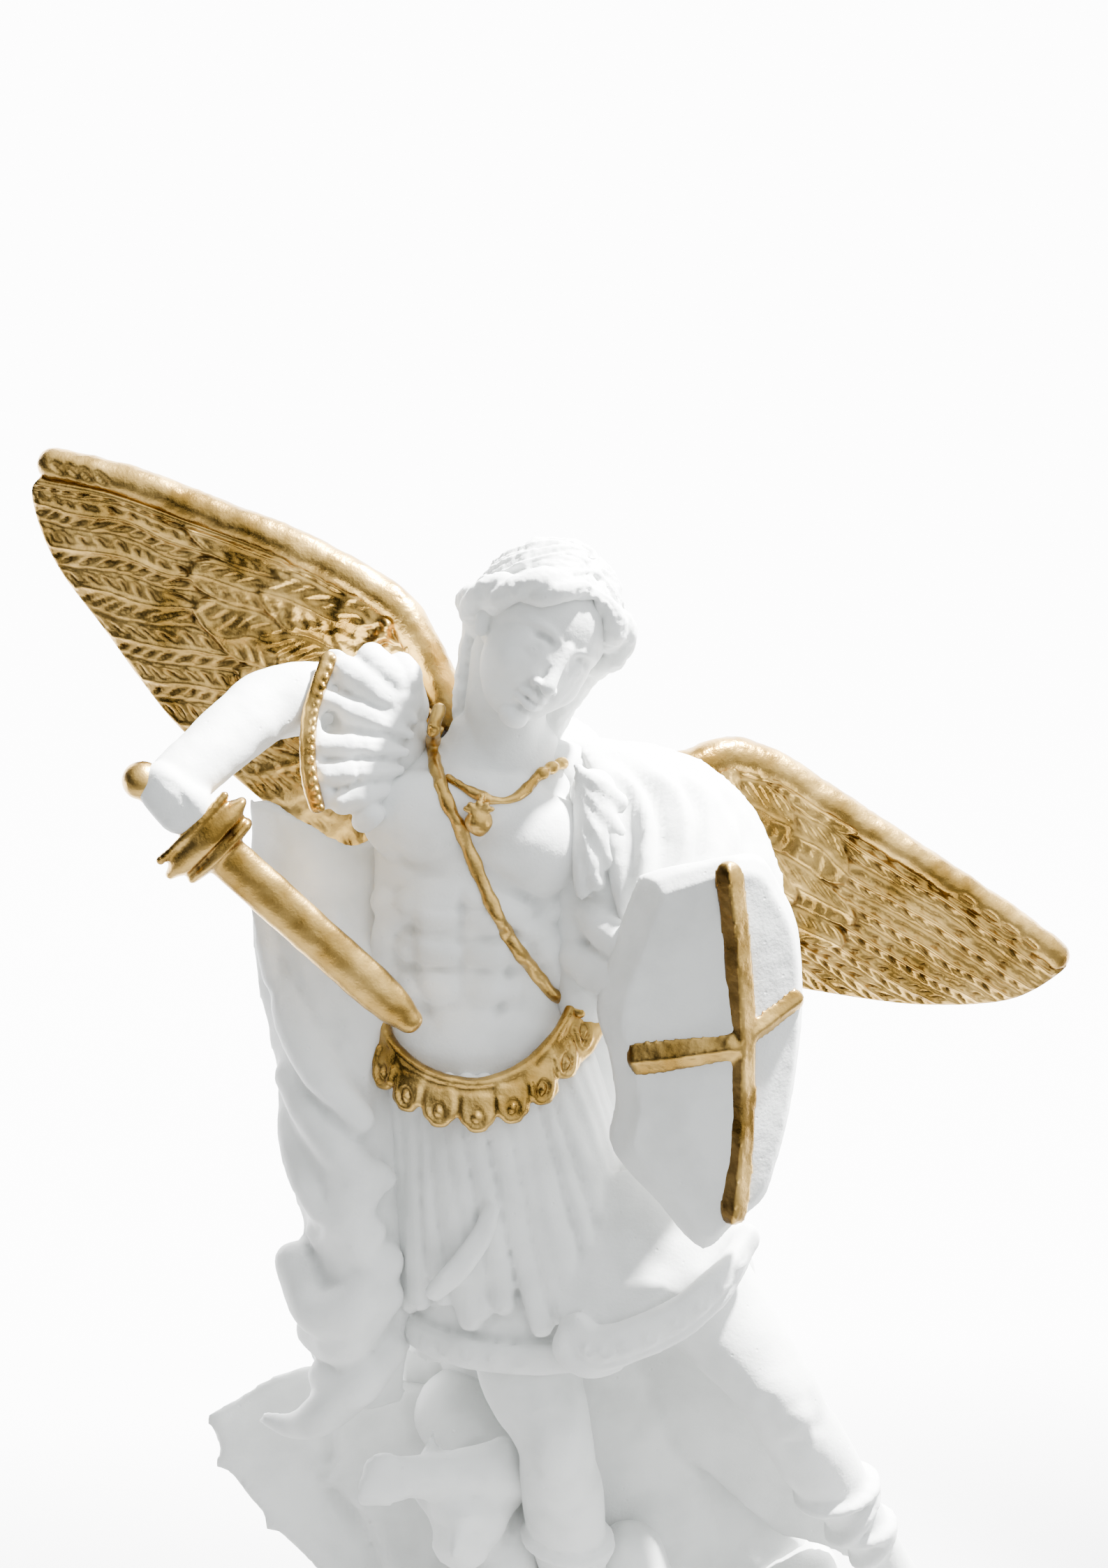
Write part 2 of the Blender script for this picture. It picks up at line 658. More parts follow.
limb(clay, [(18, 6, 40, 10), (17, -2, 62, 8.6), (15.5, -4, 74, 7.6)])
limb(clay, [(15.5, -4, 74, 7.4), (22, -10, 58, 6.6), (28, -14, 44, 5), (30, -24, 38, 4.4),
            (30, -32, 36, 3)])
limb(clay, [(20, 14, 36, 5), (34, 22, 30, 4), (46, 14, 26, 3.4), (48, 0, 26, 3),
            (40, -10, 28, 2.2), (36, -8, 33, 1.2)])
bat_wing(clay, (-50, 8, 108),
         [(-69.0, 3, 101), (-67.5, 3, 92), (-58, 3, 78), (-47, 3, 66), (-34, 6, 48),
          (-14, 10, 42)], (-30, 10, 80), 0.0)
bones = bat_wing(clay, (-14, 14, 98), [(-50, 8, 108), (-46, 4, 88), (-34, 6, 60),
                                       (-12, 12, 50)], (-20, 12, 80), 0.12)
bones += bat_wing(clay, (32, 10, 88), [(0, 14, 100), (4, 12, 74), (16, 9, 56), (34, 7, 44),
                                       (54, 8, 40), (66, 10, 54)], (26, 11, 70), 0.12)
demon = Carving(fused("demon", clay, 1.4, soften=1))
for bone in bones:
    demon.stroke([p + Vector((1.6, 0, 0)) for p in bone[::4]], 1.0, -0.35, deep=0.3)
demon.lumps(6.0, 0.35, 3)
demon.lumps(1.8, 0.10, 4)
demon.done(white_skin)


# The saint's legs and laced boots
# The right leg stands straight and the left strides over the rock. Each half boot has a rolled
# cuff, crossed laces and a knot, all carved in the one cast.
clay = bmesh.new()
limb(clay, [(-8, -2, 152, 12), (-6.5, -6, 136, 11.6), (-4.6, -12, 119, 10.4),
            (-1, -17, 111, 8.2), (0.5, -19.5, 106.5, 7.4), (0.9, -18, 101, 7.6),
            (1.8, -14.5, 93, 8.3), (3, -11.5, 82, 7.4), (5, -9, 68, 5.8),
            (6.5, -7.5, 57, 4.8), (7, -7, 51, 5.2)], sides=28)
limb(clay, [(7.5, -4, 50, 5), (6.5, -12, 49.5, 5.2), (4, -22, 46.5, 4.6, 3.6),
            (2.5, -28, 45, 3.6, 2.8)])
limb(clay, [(16, -1, 150, 13.5), (25, -7, 139, 12.4), (33.6, -12, 129, 10.0),
            (39.5, -16.5, 122.5, 8.4), (44.2, -19.5, 116.8, 7.6), (46.8, -18.8, 111.5, 7.4),
            (50.5, -17, 104.5, 7.8), (55, -15.5, 97, 6.8), (60, -13.5, 88.5, 5.6),
            (65.5, -11.5, 79, 4.8), (68.5, -10.5, 72.5, 5.2)], sides=28)
limb(clay, [(68, -8, 71, 5.2), (72, -15, 69, 5.2), (78, -24, 65.5, 4.6, 3.8),
            (81, -29, 64, 3.6, 3.0)])
for knee in ((0.4, -22.6, 106.5), (46.2, -23.4, 115.5)):
    ball(clay, knee, (4.2, 4.0, 4.8))
for shin, foot, half in (((55.8, -15.4, 95.6), (65.5, -11.5, 79), 7.6),
                         ((2.8, -11.8, 83), (5.6, -8.4, 64), 8.4)):
    top, low = Vector(shin), Vector(foot)
    down = (low - top).normalized()
    side = down.cross(Vector((0, -1, 0))).normalized()
    front = side.cross(down)
    for share, radius, tilt in ((0, half, 0.3), (0.35, half * 0.86, -0.4),
                                (0.55, half * 0.78, 0.4), (0.8, half * 0.7, -0.3)):
        middle = top.lerp(low, share)
        ring = []
        for k in range(13):
            a = 2 * math.pi * k / 12
            rise = down * (-tilt * radius * math.sin(a))
            ring.append((*(middle + (side * math.sin(a) - front * math.cos(a)) * radius + rise),
                         1.1))
        limb(clay, ring, sides=12, steps=4)
    ball(clay, top - front * (half + 0.3) + down * 3, (2.4, 1.6, 2.0))
legs = Carving(fused("legs_and_boots", clay, 0.9, soften=1))
for knee_x, knee_y, knee_z, lean in ((0.4, -25, 107, 0.0), (46.4, -26, 116, 0.55)):
    for side in (-1, 1):
        legs.stroke([(knee_x + side * 4.6 - 2 * lean, knee_y, knee_z + 5),
                     (knee_x + side * 5.2, knee_y, knee_z),
                     (knee_x + side * 3.6 + 2 * lean, knee_y, knee_z - 5)], 1.7, -0.7)
    legs.stroke([(knee_x - 3, knee_y, knee_z - 5.4), (knee_x + 3, knee_y, knee_z - 5.8)], 1.4, -0.5)
legs.stroke([(27, -22, 133), (36, -24, 124), (42, -26, 119)], 3.0, 0.4)
legs.stroke([(-3, -24, 124), (-1, -26, 115)], 3.0, 0.6)
legs.lumps(7.0, 0.30, 5)
legs.lumps(1.6, 0.05, 6)
legs.done(white_skin)


# The tunic, the kilt of hanging straps and the turned-up hem
# The kilt hangs from the breastplate over a short tunic. Its straps are cut as soft ridges
# that flare at the foot; the tunic's hem is turned up over the left thigh.
SKIRT_STRAPS = 17
SKIRT_STRAP_WIDTH = 4.4
SKIRT_STRAP_THICKNESS = 3.0
SKIRT_SPREAD = 156
SKIRT_TOP, SKIRT_FOOT = 181, 135.0


def skirt_point(angle, height, lift=0.0):
    """A point on the kilt at an angle from the front and a height."""
    drop = (180.0 - height) / 54.0
    middle = Vector((-13.0 + 11.0 * drop, 0.5 - 1.5 * drop, height))
    wide = 20.5 + 8.5 * drop + lift
    deep = 15.5 + 6.0 * drop + lift
    return middle + Vector((wide * math.sin(angle), -deep * math.cos(angle), 0))


def drape(clay, grid, facing=(0, -1, 0), thickness=9.0, steps=6):
    """Cloth over a coarse grid of points, made smooth both ways."""
    across = [through(row, steps) for row in grid]
    columns = [through([row[j] for row in across], steps) for j in range(len(across[0]))]
    rows = [[column[i] for column in columns] for i in range(len(columns[0]))]
    sheet(clay, rows, thickness, facing)


clay = bmesh.new()
rows = [(*skirt_point(0, z).lerp(skirt_point(math.pi, z), 0.5), 19.6 + 8.5 * (180 - z) / 54,
         14.2 + 6 * (180 - z) / 54) for z in (180, 172, 158, 145, 135, 125.5)]
limb(clay, rows, sides=48, across=(1, 0, 0), dome=False)
strap_paths = []
for k in range(SKIRT_STRAPS):
    share = k / (SKIRT_STRAPS - 1)
    angle = math.radians(SKIRT_SPREAD * (share - 0.5))
    foot = SKIRT_FOOT + 2.2 * math.sin(k * 2.1) + 5 * max(share - 0.7, 0)
    swing = 0.05 * math.sin(k * 1.7)
    half = SKIRT_STRAP_WIDTH / 2 * (1 + 0.22 * math.sin(k * 2.7))
    knots = []
    for drop, wider in ((0.0, 0.7), (0.3, 0.8), (0.6, 0.95), (0.85, 1.1), (1.0, 0.95)):
        p = skirt_point(angle + swing * drop, SKIRT_TOP + (foot - SKIRT_TOP) * drop,
                        0.2 + 0.8 * math.sin(drop * 5 + k))
        knots.append((*p, half * wider, SKIRT_STRAP_THICKNESS / 2 * (0.9 + 0.5 * drop)))
    strap_paths.append((angle, half, limb(
        clay, knots, across=(math.cos(angle), math.sin(angle), 0), square=0.75)))
limb(clay, [(-11.8, -20.5, 157, 1.6, 1.2), (-14.2, -22.4, 151, 2.2, 1.4), (-18.8, -23.2, 145, 2.4, 1.5),
            (-23.0, -22.4, 140, 2.0, 1.3)], across=(1, 0, 0.6), square=0.75)
hem = [(*skirt_point(math.radians(a), 128.5 - 2.5 * math.cos(math.radians(a + 20))), 3.0, 1.4)
       for a in (-85, -60, -35, -10, 10)]
hem_path = limb(clay, hem, across=(0, 0, 1), square=0.7)
drape(clay, [
    [(0, -8, 156), (13, -9, 159), (27, -7, 163), (36, -1, 166)],
    [(1, -16.5, 142), (13, -18.5, 143), (26, -17, 148), (36, -9, 155)],
    [(2, -22, 133), (14, -25, 134.5), (25, -24, 138.5), (36, -15, 149.5)],
])
fold = [(3.5, -28, 134.5, 4.6, 2.6), (8, -30.2, 132.5, 4.4, 2.6), (15, -31, 134.5, 4.2, 2.4),
        (24, -29.5, 138.5, 4.2, 2.4), (32, -25, 144, 4.0, 2.2), (37.5, -18, 150, 3.2, 2.0)]
fold_path = limb(clay, fold, across=(0.1, 0, 1), square=0.7)
limb(clay, [(2.8, -28, 136, 2.0), (2.2, -29, 131, 2.4), (6.5, -30, 128, 2.0),
            (12, -28, 128, 1.5)])
kilt = Carving(fused("tunic_and_kilt", clay, 0.7, soften=1))
for angle, half, path in strap_paths:
    across = Vector((math.cos(angle), math.sin(angle), 0))
    for offset, width, height in ((-0.3, 0.55, -0.4), (0.35, 0.55, -0.35)):
        line = [p + across * (half * offset + 0.25 * math.sin(i * 0.9 + angle * 9))
                for i, p in enumerate(path[2::5])]
        kilt.stroke(line, width, height, deep=0.5)
for path, first, count, size, front in ((fold_path, 0.14, 8, 0.38, -2.6),
                                        (hem_path, 0.1, 7, 0.30, -1.6)):
    for turn in range(count):
        middle = on_curve(path, first + 0.11 * turn) + Vector((0, front, 0.4))
        curl = [middle + Vector((size * a * math.cos(1.5 * a), 0, size * a * math.sin(1.5 * a)))
                for a in (0.6, 1.4, 2.2, 3.0, 3.8, 4.6)]
        kilt.stroke(curl, 0.45, 0.5, deep=0.3)
    kilt.stroke([p + Vector((0, front, -2.6)) for p in path[2:-2:6]], 0.4, -0.4, deep=0.3)
kilt.lumps(5.0, 0.25, 7)
kilt.lumps(1.5, 0.05, 8)
kilt.done(white_skin)


# The cloak
# It crosses the left shoulder, falls behind the figure to the rocks, and swings forward in deep
# folds beside the right leg. It was modelled in clay and cast solid against the body.
CLOAK_THICKNESS = 4.5


clay = bmesh.new()
drape(clay, thickness=CLOAK_THICKNESS, grid=[
    [(-57.5, 5, 231), (-49, -1, 229), (-40, 2, 222), (-30, 8, 226)],
    [(-57, 3, 213), (-48.5, -6, 212), (-38, -4, 208), (-30, 6, 210)],
    [(-56.6, 2, 198), (-47.5, -8, 194), (-38, -8, 190), (-29, 2, 192)],
    [(-53.0, 0, 181), (-46.5, -10, 177), (-38.5, -12, 172), (-30, -4, 174)],
    [(-52.4, -1, 164), (-45.5, -12, 160), (-38, -14, 156), (-31, -6, 156)],
    [(-48.0, -2, 146), (-42, -13, 144), (-37, -15, 140), (-30, -8, 138)],
    [(-50.5, -2, 131), (-43, -12, 128), (-36, -13, 124), (-30, -8, 122)],
    [(-45, 0, 112), (-42, -8, 112), (-37, -8, 110), (-31, -4, 110)],
])
for fold in (
    [(-57, -2, 212, 2.2), (-52.4, -7, 197, 3.2), (-45.5, -13, 183, 4.2), (-37, -15, 173, 3)],
    [(-51.6, -5, 178, 3), (-45.5, -13, 171, 3.6), (-38, -16, 163, 3.6), (-32, -14, 160, 2)],
    [(-51.4, -4, 169, 3.2), (-48, -11, 160, 4), (-42, -15, 152, 3.4), (-35, -16, 150, 3)],
    [(-45.6, -10, 148, 3.2), (-40, -16, 153, 3.6), (-34, -15, 161, 3)],
    [(-50.6, -7, 140, 4.4), (-46, -14, 133, 5.0), (-39, -17, 135, 5.0), (-33, -14, 143, 4)],
    [(-47, -8, 126, 4.2), (-41, -15, 127, 4.6), (-33, -15, 136, 4)],
    [(-44.6, -10, 117, 4.0), (-39, -15, 117, 4.6), (-33, -13, 124, 4)],
    [(-57, -9, 107.2, 1.4), (-52, -12, 107.4, 2.6), (-46, -14, 110.5, 4.2), (-38, -13, 118, 4.4),
     (-32, -9, 126, 3)],
    [(-41, -13, 166, 4), (-39, -15, 156, 4.4), (-37, -15, 146, 4)],
):
    limb(clay, fold)
drape(clay, thickness=CLOAK_THICKNESS, grid=[
    [(3, 9, 240), (12, 9, 239.6), (22, 10, 238.4), (31, 11, 233.5), (38, 12, 226)],
    [(6, 0, 238.4), (14, 1, 238.2), (24, 1, 235), (33, 3, 228.5), (41, 6, 220)],
    [(10, -7, 231), (17, -8, 230), (26, -8, 225), (35, -5, 218.5), (43.4, 0, 212)],
    [(12, -12, 219), (19, -13, 218), (27, -14, 214), (36, -11, 209), (43.6, -4, 203)],
    [(14, -14, 207), (20, -17, 206), (29, -19, 204), (37, -16, 199), (43.4, -8, 194)],
])
for k, (x, z) in enumerate(((6, 240.5), (12.5, 239.8), (18.5, 238.2), (24.5, 235.6), (31, 231))):
    limb(clay, [(x, 5 + 0.6 * k, z - 0.6, 1.6), (x + 3.2, -4 + 0.8 * k, z - 4.5, 2.2),
                (x + 5.0 - 0.4 * k, -10.8 + 0.8 * k, z - 13, 2.2),
                (x + 6.6 - 1.1 * k, -13.4 - 0.1 * k, z - 22, 2.0),
                (x + 7.8 - 2.0 * k, -15.2 - 0.9 * k, z - 31 + k, 1.2)])
limb(clay, [(-10, 8, 240, 16, 7), (-8, 9, 220, 24, 9), (-6, 9, 190, 25, 9),
            (-2, 10, 160, 27, 10), (2, 12, 130, 28, 11), (6, 14, 100, 28, 12),
            (10, 15, 70, 30, 14), (12, 15, 45, 30, 14)], sides=36, dome=False)
back = []
for row, z in enumerate((247, 236, 218, 196, 172, 148, 124, 102, 82, 62, 48)):
    low = row / 10
    line = []
    for k in range(17):
        share = k / 16
        wide = 21 + 24 * low ** 1.2
        x = -12 + 24 * low + (2 * share - 1) * wide
        belly = 1 - abs(2 * share - 1) ** 2.4
        ripple = (1.2 + 2.6 * low) * math.sin(share * 25 + 2.2 * low)
        line.append((x, 8 + 9 * belly + 9 * low + ripple, z - 7 * (2 * share - 1) ** 2))
    back.append(line)
drape(clay, back, facing=(0, 1, 0), thickness=CLOAK_THICKNESS * 1.3, steps=3)
drape(clay, thickness=CLOAK_THICKNESS, grid=[
    [(10, 6, 150), (24, 4, 148), (38, 2, 142)],
    [(12, 6, 124), (28, 4, 124), (44, -2, 122)],
    [(19, 8, 104), (34, 4, 104), (54, -4, 104)],
    [(32, 8, 88), (46, 4, 88), (62, -2, 84)],
    [(46, 8, 74), (58, 6, 72), (70, 0, 68)],
])
cloak = Carving(fused("cloak", clay, 1.1))
for path, width, height in (
    ([(7, -1, 239.5), (14, -6, 236.8), (17.3, -10, 229.7), (16.6, -14, 222), (15, -18, 214)], 1.4, 2.0),
    ([(11, -1, 239.6), (18, -6, 235.5), (20.6, -10, 228), (19.6, -14, 220)], 1.1, -1.7),
    ([(17, -1, 239), (23, -6, 234.5), (24.6, -11, 227), (23, -15, 219)], 1.4, 1.8),
    ([(22, -1, 238), (27.5, -6, 232.5), (28, -11, 225), (26, -16, 217)], 1.1, -1.6),
    ([(26, 0, 236.5), (31.5, -4, 231), (32, -9, 224), (30, -14, 216)], 1.3, 1.2),
    ([(31, 1, 234), (36, -2, 228), (37, -6, 220)], 1.1, -1.0),
    ([(35, 3, 231), (40, 0, 224), (41.5, -3, 215)], 1.2, 0.9),
    ([(-54, -6, 206), (-51, -8, 195), (-46, -12, 184)], 1.2, -1.0),
    ([(-50, -8, 208), (-46, -10, 196), (-42, -12, 186)], 1.5, 0.7),
    ([(-44, -8, 214), (-42, -9, 202), (-37, -12, 190)], 1.3, -0.9),
    ([(-52, -6, 186), (-46, -12, 178), (-38, -14, 171)], 1.1, -0.9),
    ([(-45.8, -13, 157), (-45.1, -13, 151), (-48.2, -13, 145.5)], 1.0, -1.0),
    ([(-48.7, -12, 127), (-40.3, -15, 133), (-34.4, -15, 140)], 1.0, -0.9),
):
    cloak.stroke(path, width, height, deep=0.25, ends=3)
chance = random.Random(9)
for _ in range(46):
    cloak.dent((chance.uniform(-57, -31), -7, chance.uniform(194, 230)), chance.uniform(1.1, 2.6),
               chance.uniform(-0.9, 0.7), deep=0.4)
cloak.lumps(8.0, 0.5, 9)
cloak.lumps(2.0, 0.10, 10)
cloak.done(white_skin)


# The breastplate and neck
# A muscled breastplate, modelled as if it were skin, with the neck above it. The chest, the
# ribs and the belly are soft forms with lines cut between them.
clay = bmesh.new()
limb(
    clay,
    [
        (-12.5, 1, 160, 19, 13), (-13.5, 0, 178, 19, 13.5), (-15.2, -1, 190, 18.0, 12.4),
        (-15.5, 0, 202, 18.6, 12.6), (-15.0, 0, 214, 19.8, 12.6), (-13.0, 1, 226, 21.5, 12.0),
        (-11.0, 2.5, 235, 18.5, 10.0), (-9.8, 3, 242, 11, 8.5),
    ],
    sides=40,
    across=((1, 0, 0.02), (1, 0.06, -0.34)),
)
limb(clay, [(-9.8, 3, 234, 10.0), (-9.6, 2, 244, 8.2), (-8.8, 1, 252, 7.8), (-7.5, 1, 260, 8.4)],
     sides=28)
ball(clay, (-24.2, -5.2, 229.6), (12.4, 8.2, 9.6))
ball(clay, (-5.0, -5.6, 224.2), (13.2, 8.6, 11.0))
ball(clay, (-14.0, -4.0, 231.0), (15.0, 8.4, 9.0))
for row, (height, half, wide) in enumerate(((212.8, 5.0, 8.2), (205.2, 4.8, 7.6), (197.8, 4.6, 7.2))):
    for side in (-1, 1):
        ball(clay, (-17.2 + side * 5.4, -9.0, height + side * -0.3), (wide, 5.2, half))
for row in range(4):
    for side in (-1, 1):
        ball(clay, (-15.8 + side * (14.0 - row * 0.5), -4.4 + row * 0.6, 213 - 6.6 * row),
             (5.4, 5.4, 4.4))
ball(clay, (-15.4, -5.0, 186.0), (16.4, 10.8, 12.6))
limb(clay, [(-18.0, -10.2, 217.2, 3.2), (-25.0, -9.6, 215.4, 3.4), (-30.6, -6.6, 209.5, 3.6),
            (-32.2, -4.2, 201.0, 3.4)])
limb(clay, [(-17.0, -10.2, 216.6, 3.2), (-8.0, -9.4, 211.8, 3.4), (-1.8, -6.8, 205.5, 3.6),
            (0.8, -4.2, 197.5, 3.4)])
chest = Carving(fused("breastplate_and_neck", clay, 0.75, soften=2))
for path, width, height in (
    ([(-34, -4, 230), (-32.9, -6, 227.3), (-27.9, -12, 221.5), (-22.5, -15, 221.2),
      (-16.8, -16, 223.0)], 1.5, -1.0),
    ([(-16.6, -16, 222.6), (-11.4, -16, 220.9), (-2.7, -14, 214.2), (2.0, -11, 215.8),
      (5.0, -8, 221.1)], 1.5, -1.0),
    ([(-16.4, -14, 233.5), (-17.2, -15.5, 226), (-17.4, -15.5, 221.7)], 1.6, -0.8),
    ([(-17.4, -15, 220), (-17.6, -15, 214.5), (-17.7, -15, 205), (-17.8, -16, 195.1)], 1.0, -0.8),
    ([(-25.4, -14, 214.4), (-17.5, -15, 213.9), (-9.7, -14, 214.2)], 0.9, -0.7),
    ([(-25.5, -14, 208.2), (-17.6, -15, 207.6), (-9.0, -14, 207.8)], 0.9, -0.7),
    ([(-24.8, -14, 202.2), (-17.6, -15, 201.6), (-9.4, -14, 202.0)], 0.9, -0.6),
    ([(-26.4, -13, 217), (-27.3, -13, 206), (-25.6, -14, 196), (-22, -14, 190)], 1.6, -0.9),
    ([(-8.8, -13, 214.5), (-7.8, -13, 205), (-9.4, -14, 196), (-12, -14, 190)], 1.6, -0.9),
    ([(-14.8, -11, 243), (-12.4, -8.5, 250), (-10.5, -6, 256)], 1.5, 0.6),
    ([(-4.6, -9, 240.5), (-4.4, -7, 248), (-3.4, -5, 254)], 1.5, 0.5),
    ([(-20.5, -8, 240.2), (-15.5, -11, 238.4), (-11.4, -12, 237.8)], 1.3, 0.55),
    ([(-8.6, -12, 237.6), (-3.8, -10, 238.2), (0.8, -7, 239.8)], 1.3, 0.55),
):
    chest.stroke(path, width, height, faces=(0, -1, 0.1))
chest.dent((-10.0, -12, 239.2), 1.8, -0.7, deep=0.4)
for row in range(3):
    for side in (-1, 1):
        x = -15.8 + side * 12.5
        chest.stroke([(x + side * 3, -10, 213.5 - 5.8 * row), (x - side * 2.5, -13, 210.5 - 5.8 * row)],
                     0.9, -0.5, faces=(0, -1, 0))
chest.lumps(8.0, 0.22, 11)
chest.lumps(1.6, 0.04, 12)
chest.done(white_skin)


# The sword arm and its fluted sleeve
# The right arm is bent up and the fist closes on the grip. The short sleeve is gathered at
# the shoulder into flutes, and ends in a border with small scrolls.
clay = bmesh.new()
ball(clay, (-32.5, 4, 243.5), (8.5, 8, 9.5))
limb(clay, [(-34, 4, 246, 7.8), (-45, 1, 251.2, 7.2), (-53.5, -3.5, 251.2, 6.9),
            (-58.6, -10, 248.6, 6.4), (-64, -17, 244.8, 6.0), (-68.8, -23.5, 241.2, 5.6)], sides=28)
GRIP_END, SWORD_POINT = Vector((-74.8, -27.0, 242.4)), Vector((-24.8, -22.5, 193.0))
aim = (SWORD_POINT - GRIP_END).normalized()
edge = aim.cross(Vector((0, 1, 0)))
fist = GRIP_END + aim * 5.6 + edge * 1.8
limb(clay, [(*(fist - aim * 2.6), 4.4, 4.2), (*fist, 4.8, 4.8), (*(fist + aim * 3.0), 5.2, 5.0)],
     across=edge, square=0.62)
arm = Carving(fused("sword_arm", clay, 0.65))
arm.stroke([(-57, -14, 243), (-53.5, -10, 247.5), (-50.5, -8, 252)], 1.3, -0.9, deep=0.6)
arm.stroke([(-47, -7, 250), (-54, -11, 249), (-61, -18, 244)], 2.4, 0.4)
for k in range(3):
    start = fist + aim * (-1.9 + 2.1 * k) + Vector((0, -5.4, 0))
    arm.stroke([start - edge * 5.0, start - edge * 2.4], 0.45, -0.45, deep=0.4)
arm.stroke([fist - aim * 4.2 + edge * 2.0 + Vector((0, -5, 0)),
            fist + edge * 2.6 + Vector((0, -5.4, 0)),
            fist + aim * 4.0 + edge * 1.6 + Vector((0, -5, 0))], 0.6, -0.4, deep=0.4)
arm.lumps(7.0, 0.3, 13)
arm.lumps(2.2, 0.10, 14)
arm.done(white_skin)


def sleeve(clay, seam, ends):
    """A short fluted sleeve: rounded flutes run from the shoulder seam to ends, each given
    as a point and a half width."""
    line = through(seam, 6)
    flutes = []
    for k, (x, y, z, half) in enumerate(ends):
        start, end = on_curve(line, k / (len(ends) - 1)), Vector((x, y, z))
        middle = start.lerp(end, 0.5) + Vector((0, -1.5, 0.6))
        flutes.append(limb(clay, [(*start, 0.9), (*middle, half * 0.95), (*end, half)]))
    return flutes


clay = bmesh.new()
ball(clay, (-33.0, 2.5, 243.5), (8.8, 7.6, 10.0))
ball(clay, (-32.5, 3.5, 249.5), (8.6, 6.8, 9.0))
limb(clay, [(-32.5, 0, 253, 8.2, 6.4), (-36.0, -3, 245, 8.0, 6.2), (-36.0, -5.5, 236.5, 6.2, 5.6)])
flutes = sleeve(clay, [(-25.5, 0, 252.5), (-26.6, -4, 247.5), (-28.6, -6.5, 240.5), (-32.0, -9, 232.0)],
                [(-29.0, 0.5, 257.6, 3.0), (-34.4, -0.4, 259.4, 3.2), (-39.4, -2.2, 257.4, 3.2),
                 (-42.2, -5.4, 251.6, 2.7), (-43.2, -8.6, 244.6, 2.6), (-42.2, -10.8, 239.4, 2.5),
                 (-39.6, -12.0, 234.4, 2.4), (-35.6, -12.4, 230.8, 2.3)])
band = limb(clay, [(-40.8, 0, 260.2, 2.6, 1.0), (-44.2, -3.4, 255.0, 2.6, 1.0),
                   (-45.2, -6.6, 250.0, 2.6, 1.0), (-45.4, -9.2, 244.6, 2.4, 1.0),
                   (-44.8, -11.2, 239.2, 2.2, 1.0), (-42.6, -12.4, 234.2, 2.0, 1.0)],
            across=((1, -0.3, 0.2), (0.9, -0.3, 0.4)))
right_sleeve = Carving(fused("right_sleeve", clay, 0.5, soften=1))
for flute in flutes:
    for offset in (-1.0, 1.0):
        right_sleeve.stroke([p + Vector((0.2, -1.5, offset)) for p in flute[2::5]], 0.35, -0.35,
                            deep=0.6)
right_sleeve.dent((-42.0, -6.5, 250.0), 2.0, -1.8, deep=0.6)
for turn in range(9):
    middle = on_curve(band, 0.1 + 0.1 * turn) + Vector((1.2, -1.0, 0))
    curl = [middle + Vector((0.26 * a * math.cos(1.6 * a), 0, 0.26 * a * math.sin(1.6 * a)))
            for a in (0.6, 1.4, 2.2, 3.0, 3.8)]
    right_sleeve.stroke(curl, 0.30, 0.34, deep=0.4)
right_sleeve.lumps(4.0, 0.3, 15)
right_sleeve.lumps(1.4, 0.10, 35)
right_sleeve.done(white_skin)


# The left sleeve and arm
# The left sleeve shows as a small fan between the breast and the cloak. Below it the arm's
# sleeves come forward to the shield's grip.
clay = bmesh.new()
limb(clay, [(-3, 4, 238, 6.0), (6, 5, 234.5, 6.2), (14, 5, 230, 7.8)])
ball(clay, (13.5, 4, 229), (8, 8, 8.5))
flutes = sleeve(clay, [(4.4, -5.5, 239.6), (4.4, -7.5, 236.0), (4.2, -8.5, 231.0)],
                [(12.4, -8.6, 233.4, 1.8), (12.0, -11.0, 228.4, 1.7), (10.4, -12.8, 223.4, 1.7),
                 (8.0, -13.6, 219.4, 1.7), (5.2, -13.2, 217.4, 1.5)])
limb(clay, [(14, 4, 230, 8), (22, 2, 218, 7.5), (24, -4, 206, 7), (22, -14, 200, 6.5),
            (28, -22, 200, 6)])
limb(clay, [(5, -3, 224, 6), (6, -5, 208, 6), (6.5, -4, 194, 6.5)])
limb(clay, [(8, -4, 234, 5), (10, -6, 222, 6), (12, -7, 208, 6.5), (13, -6, 195, 6)])
limb(clay, [(5.5, -7.5, 213.5, 3.6), (10, -12.5, 210, 4), (15, -17, 207, 4.4)])
limb(clay, [(4.5, -9, 203.5, 3.6), (9, -13.5, 201.5, 4.2), (15, -19, 201.5, 4.6)])
left_sleeve = Carving(fused("left_sleeve", clay, 0.75, soften=1))
for flute in flutes:
    left_sleeve.stroke([p + Vector((0.8, -1.2, 0.3)) for p in flute[2::5]], 0.35, -0.3, deep=0.6)
for k in range(6):
    left_sleeve.dent((4.8 + 1.7 * k, -14 - 1.2 * k, 199.6 - 0.3 * k), 0.7, 0.5, deep=0.5)
left_sleeve.lumps(4.0, 0.25, 16)
left_sleeve.done(white_skin)


# The head
# Bowed, turned and tilted towards the left shoulder. The face is a calm one on the usual
# studio proportions: eyes half way up the head, each feature on its third.
HEAD_SIZE = 0.95
HEAD = (
    (-2.2, -3.0, 264.2),
    HEAD_SIZE
    * (
        Matrix.Rotation(math.radians(18), 3, "Z")
        @ Matrix.Rotation(math.radians(12), 3, "X")
        @ Matrix.Rotation(math.radians(34), 3, "Y")
    ),
)


def on_head(x, y, z):
    """A point in the head's own frame: its middle is zero and the face looks to -y."""
    return Vector(HEAD[0]) + HEAD[1] @ Vector((x, y, z))


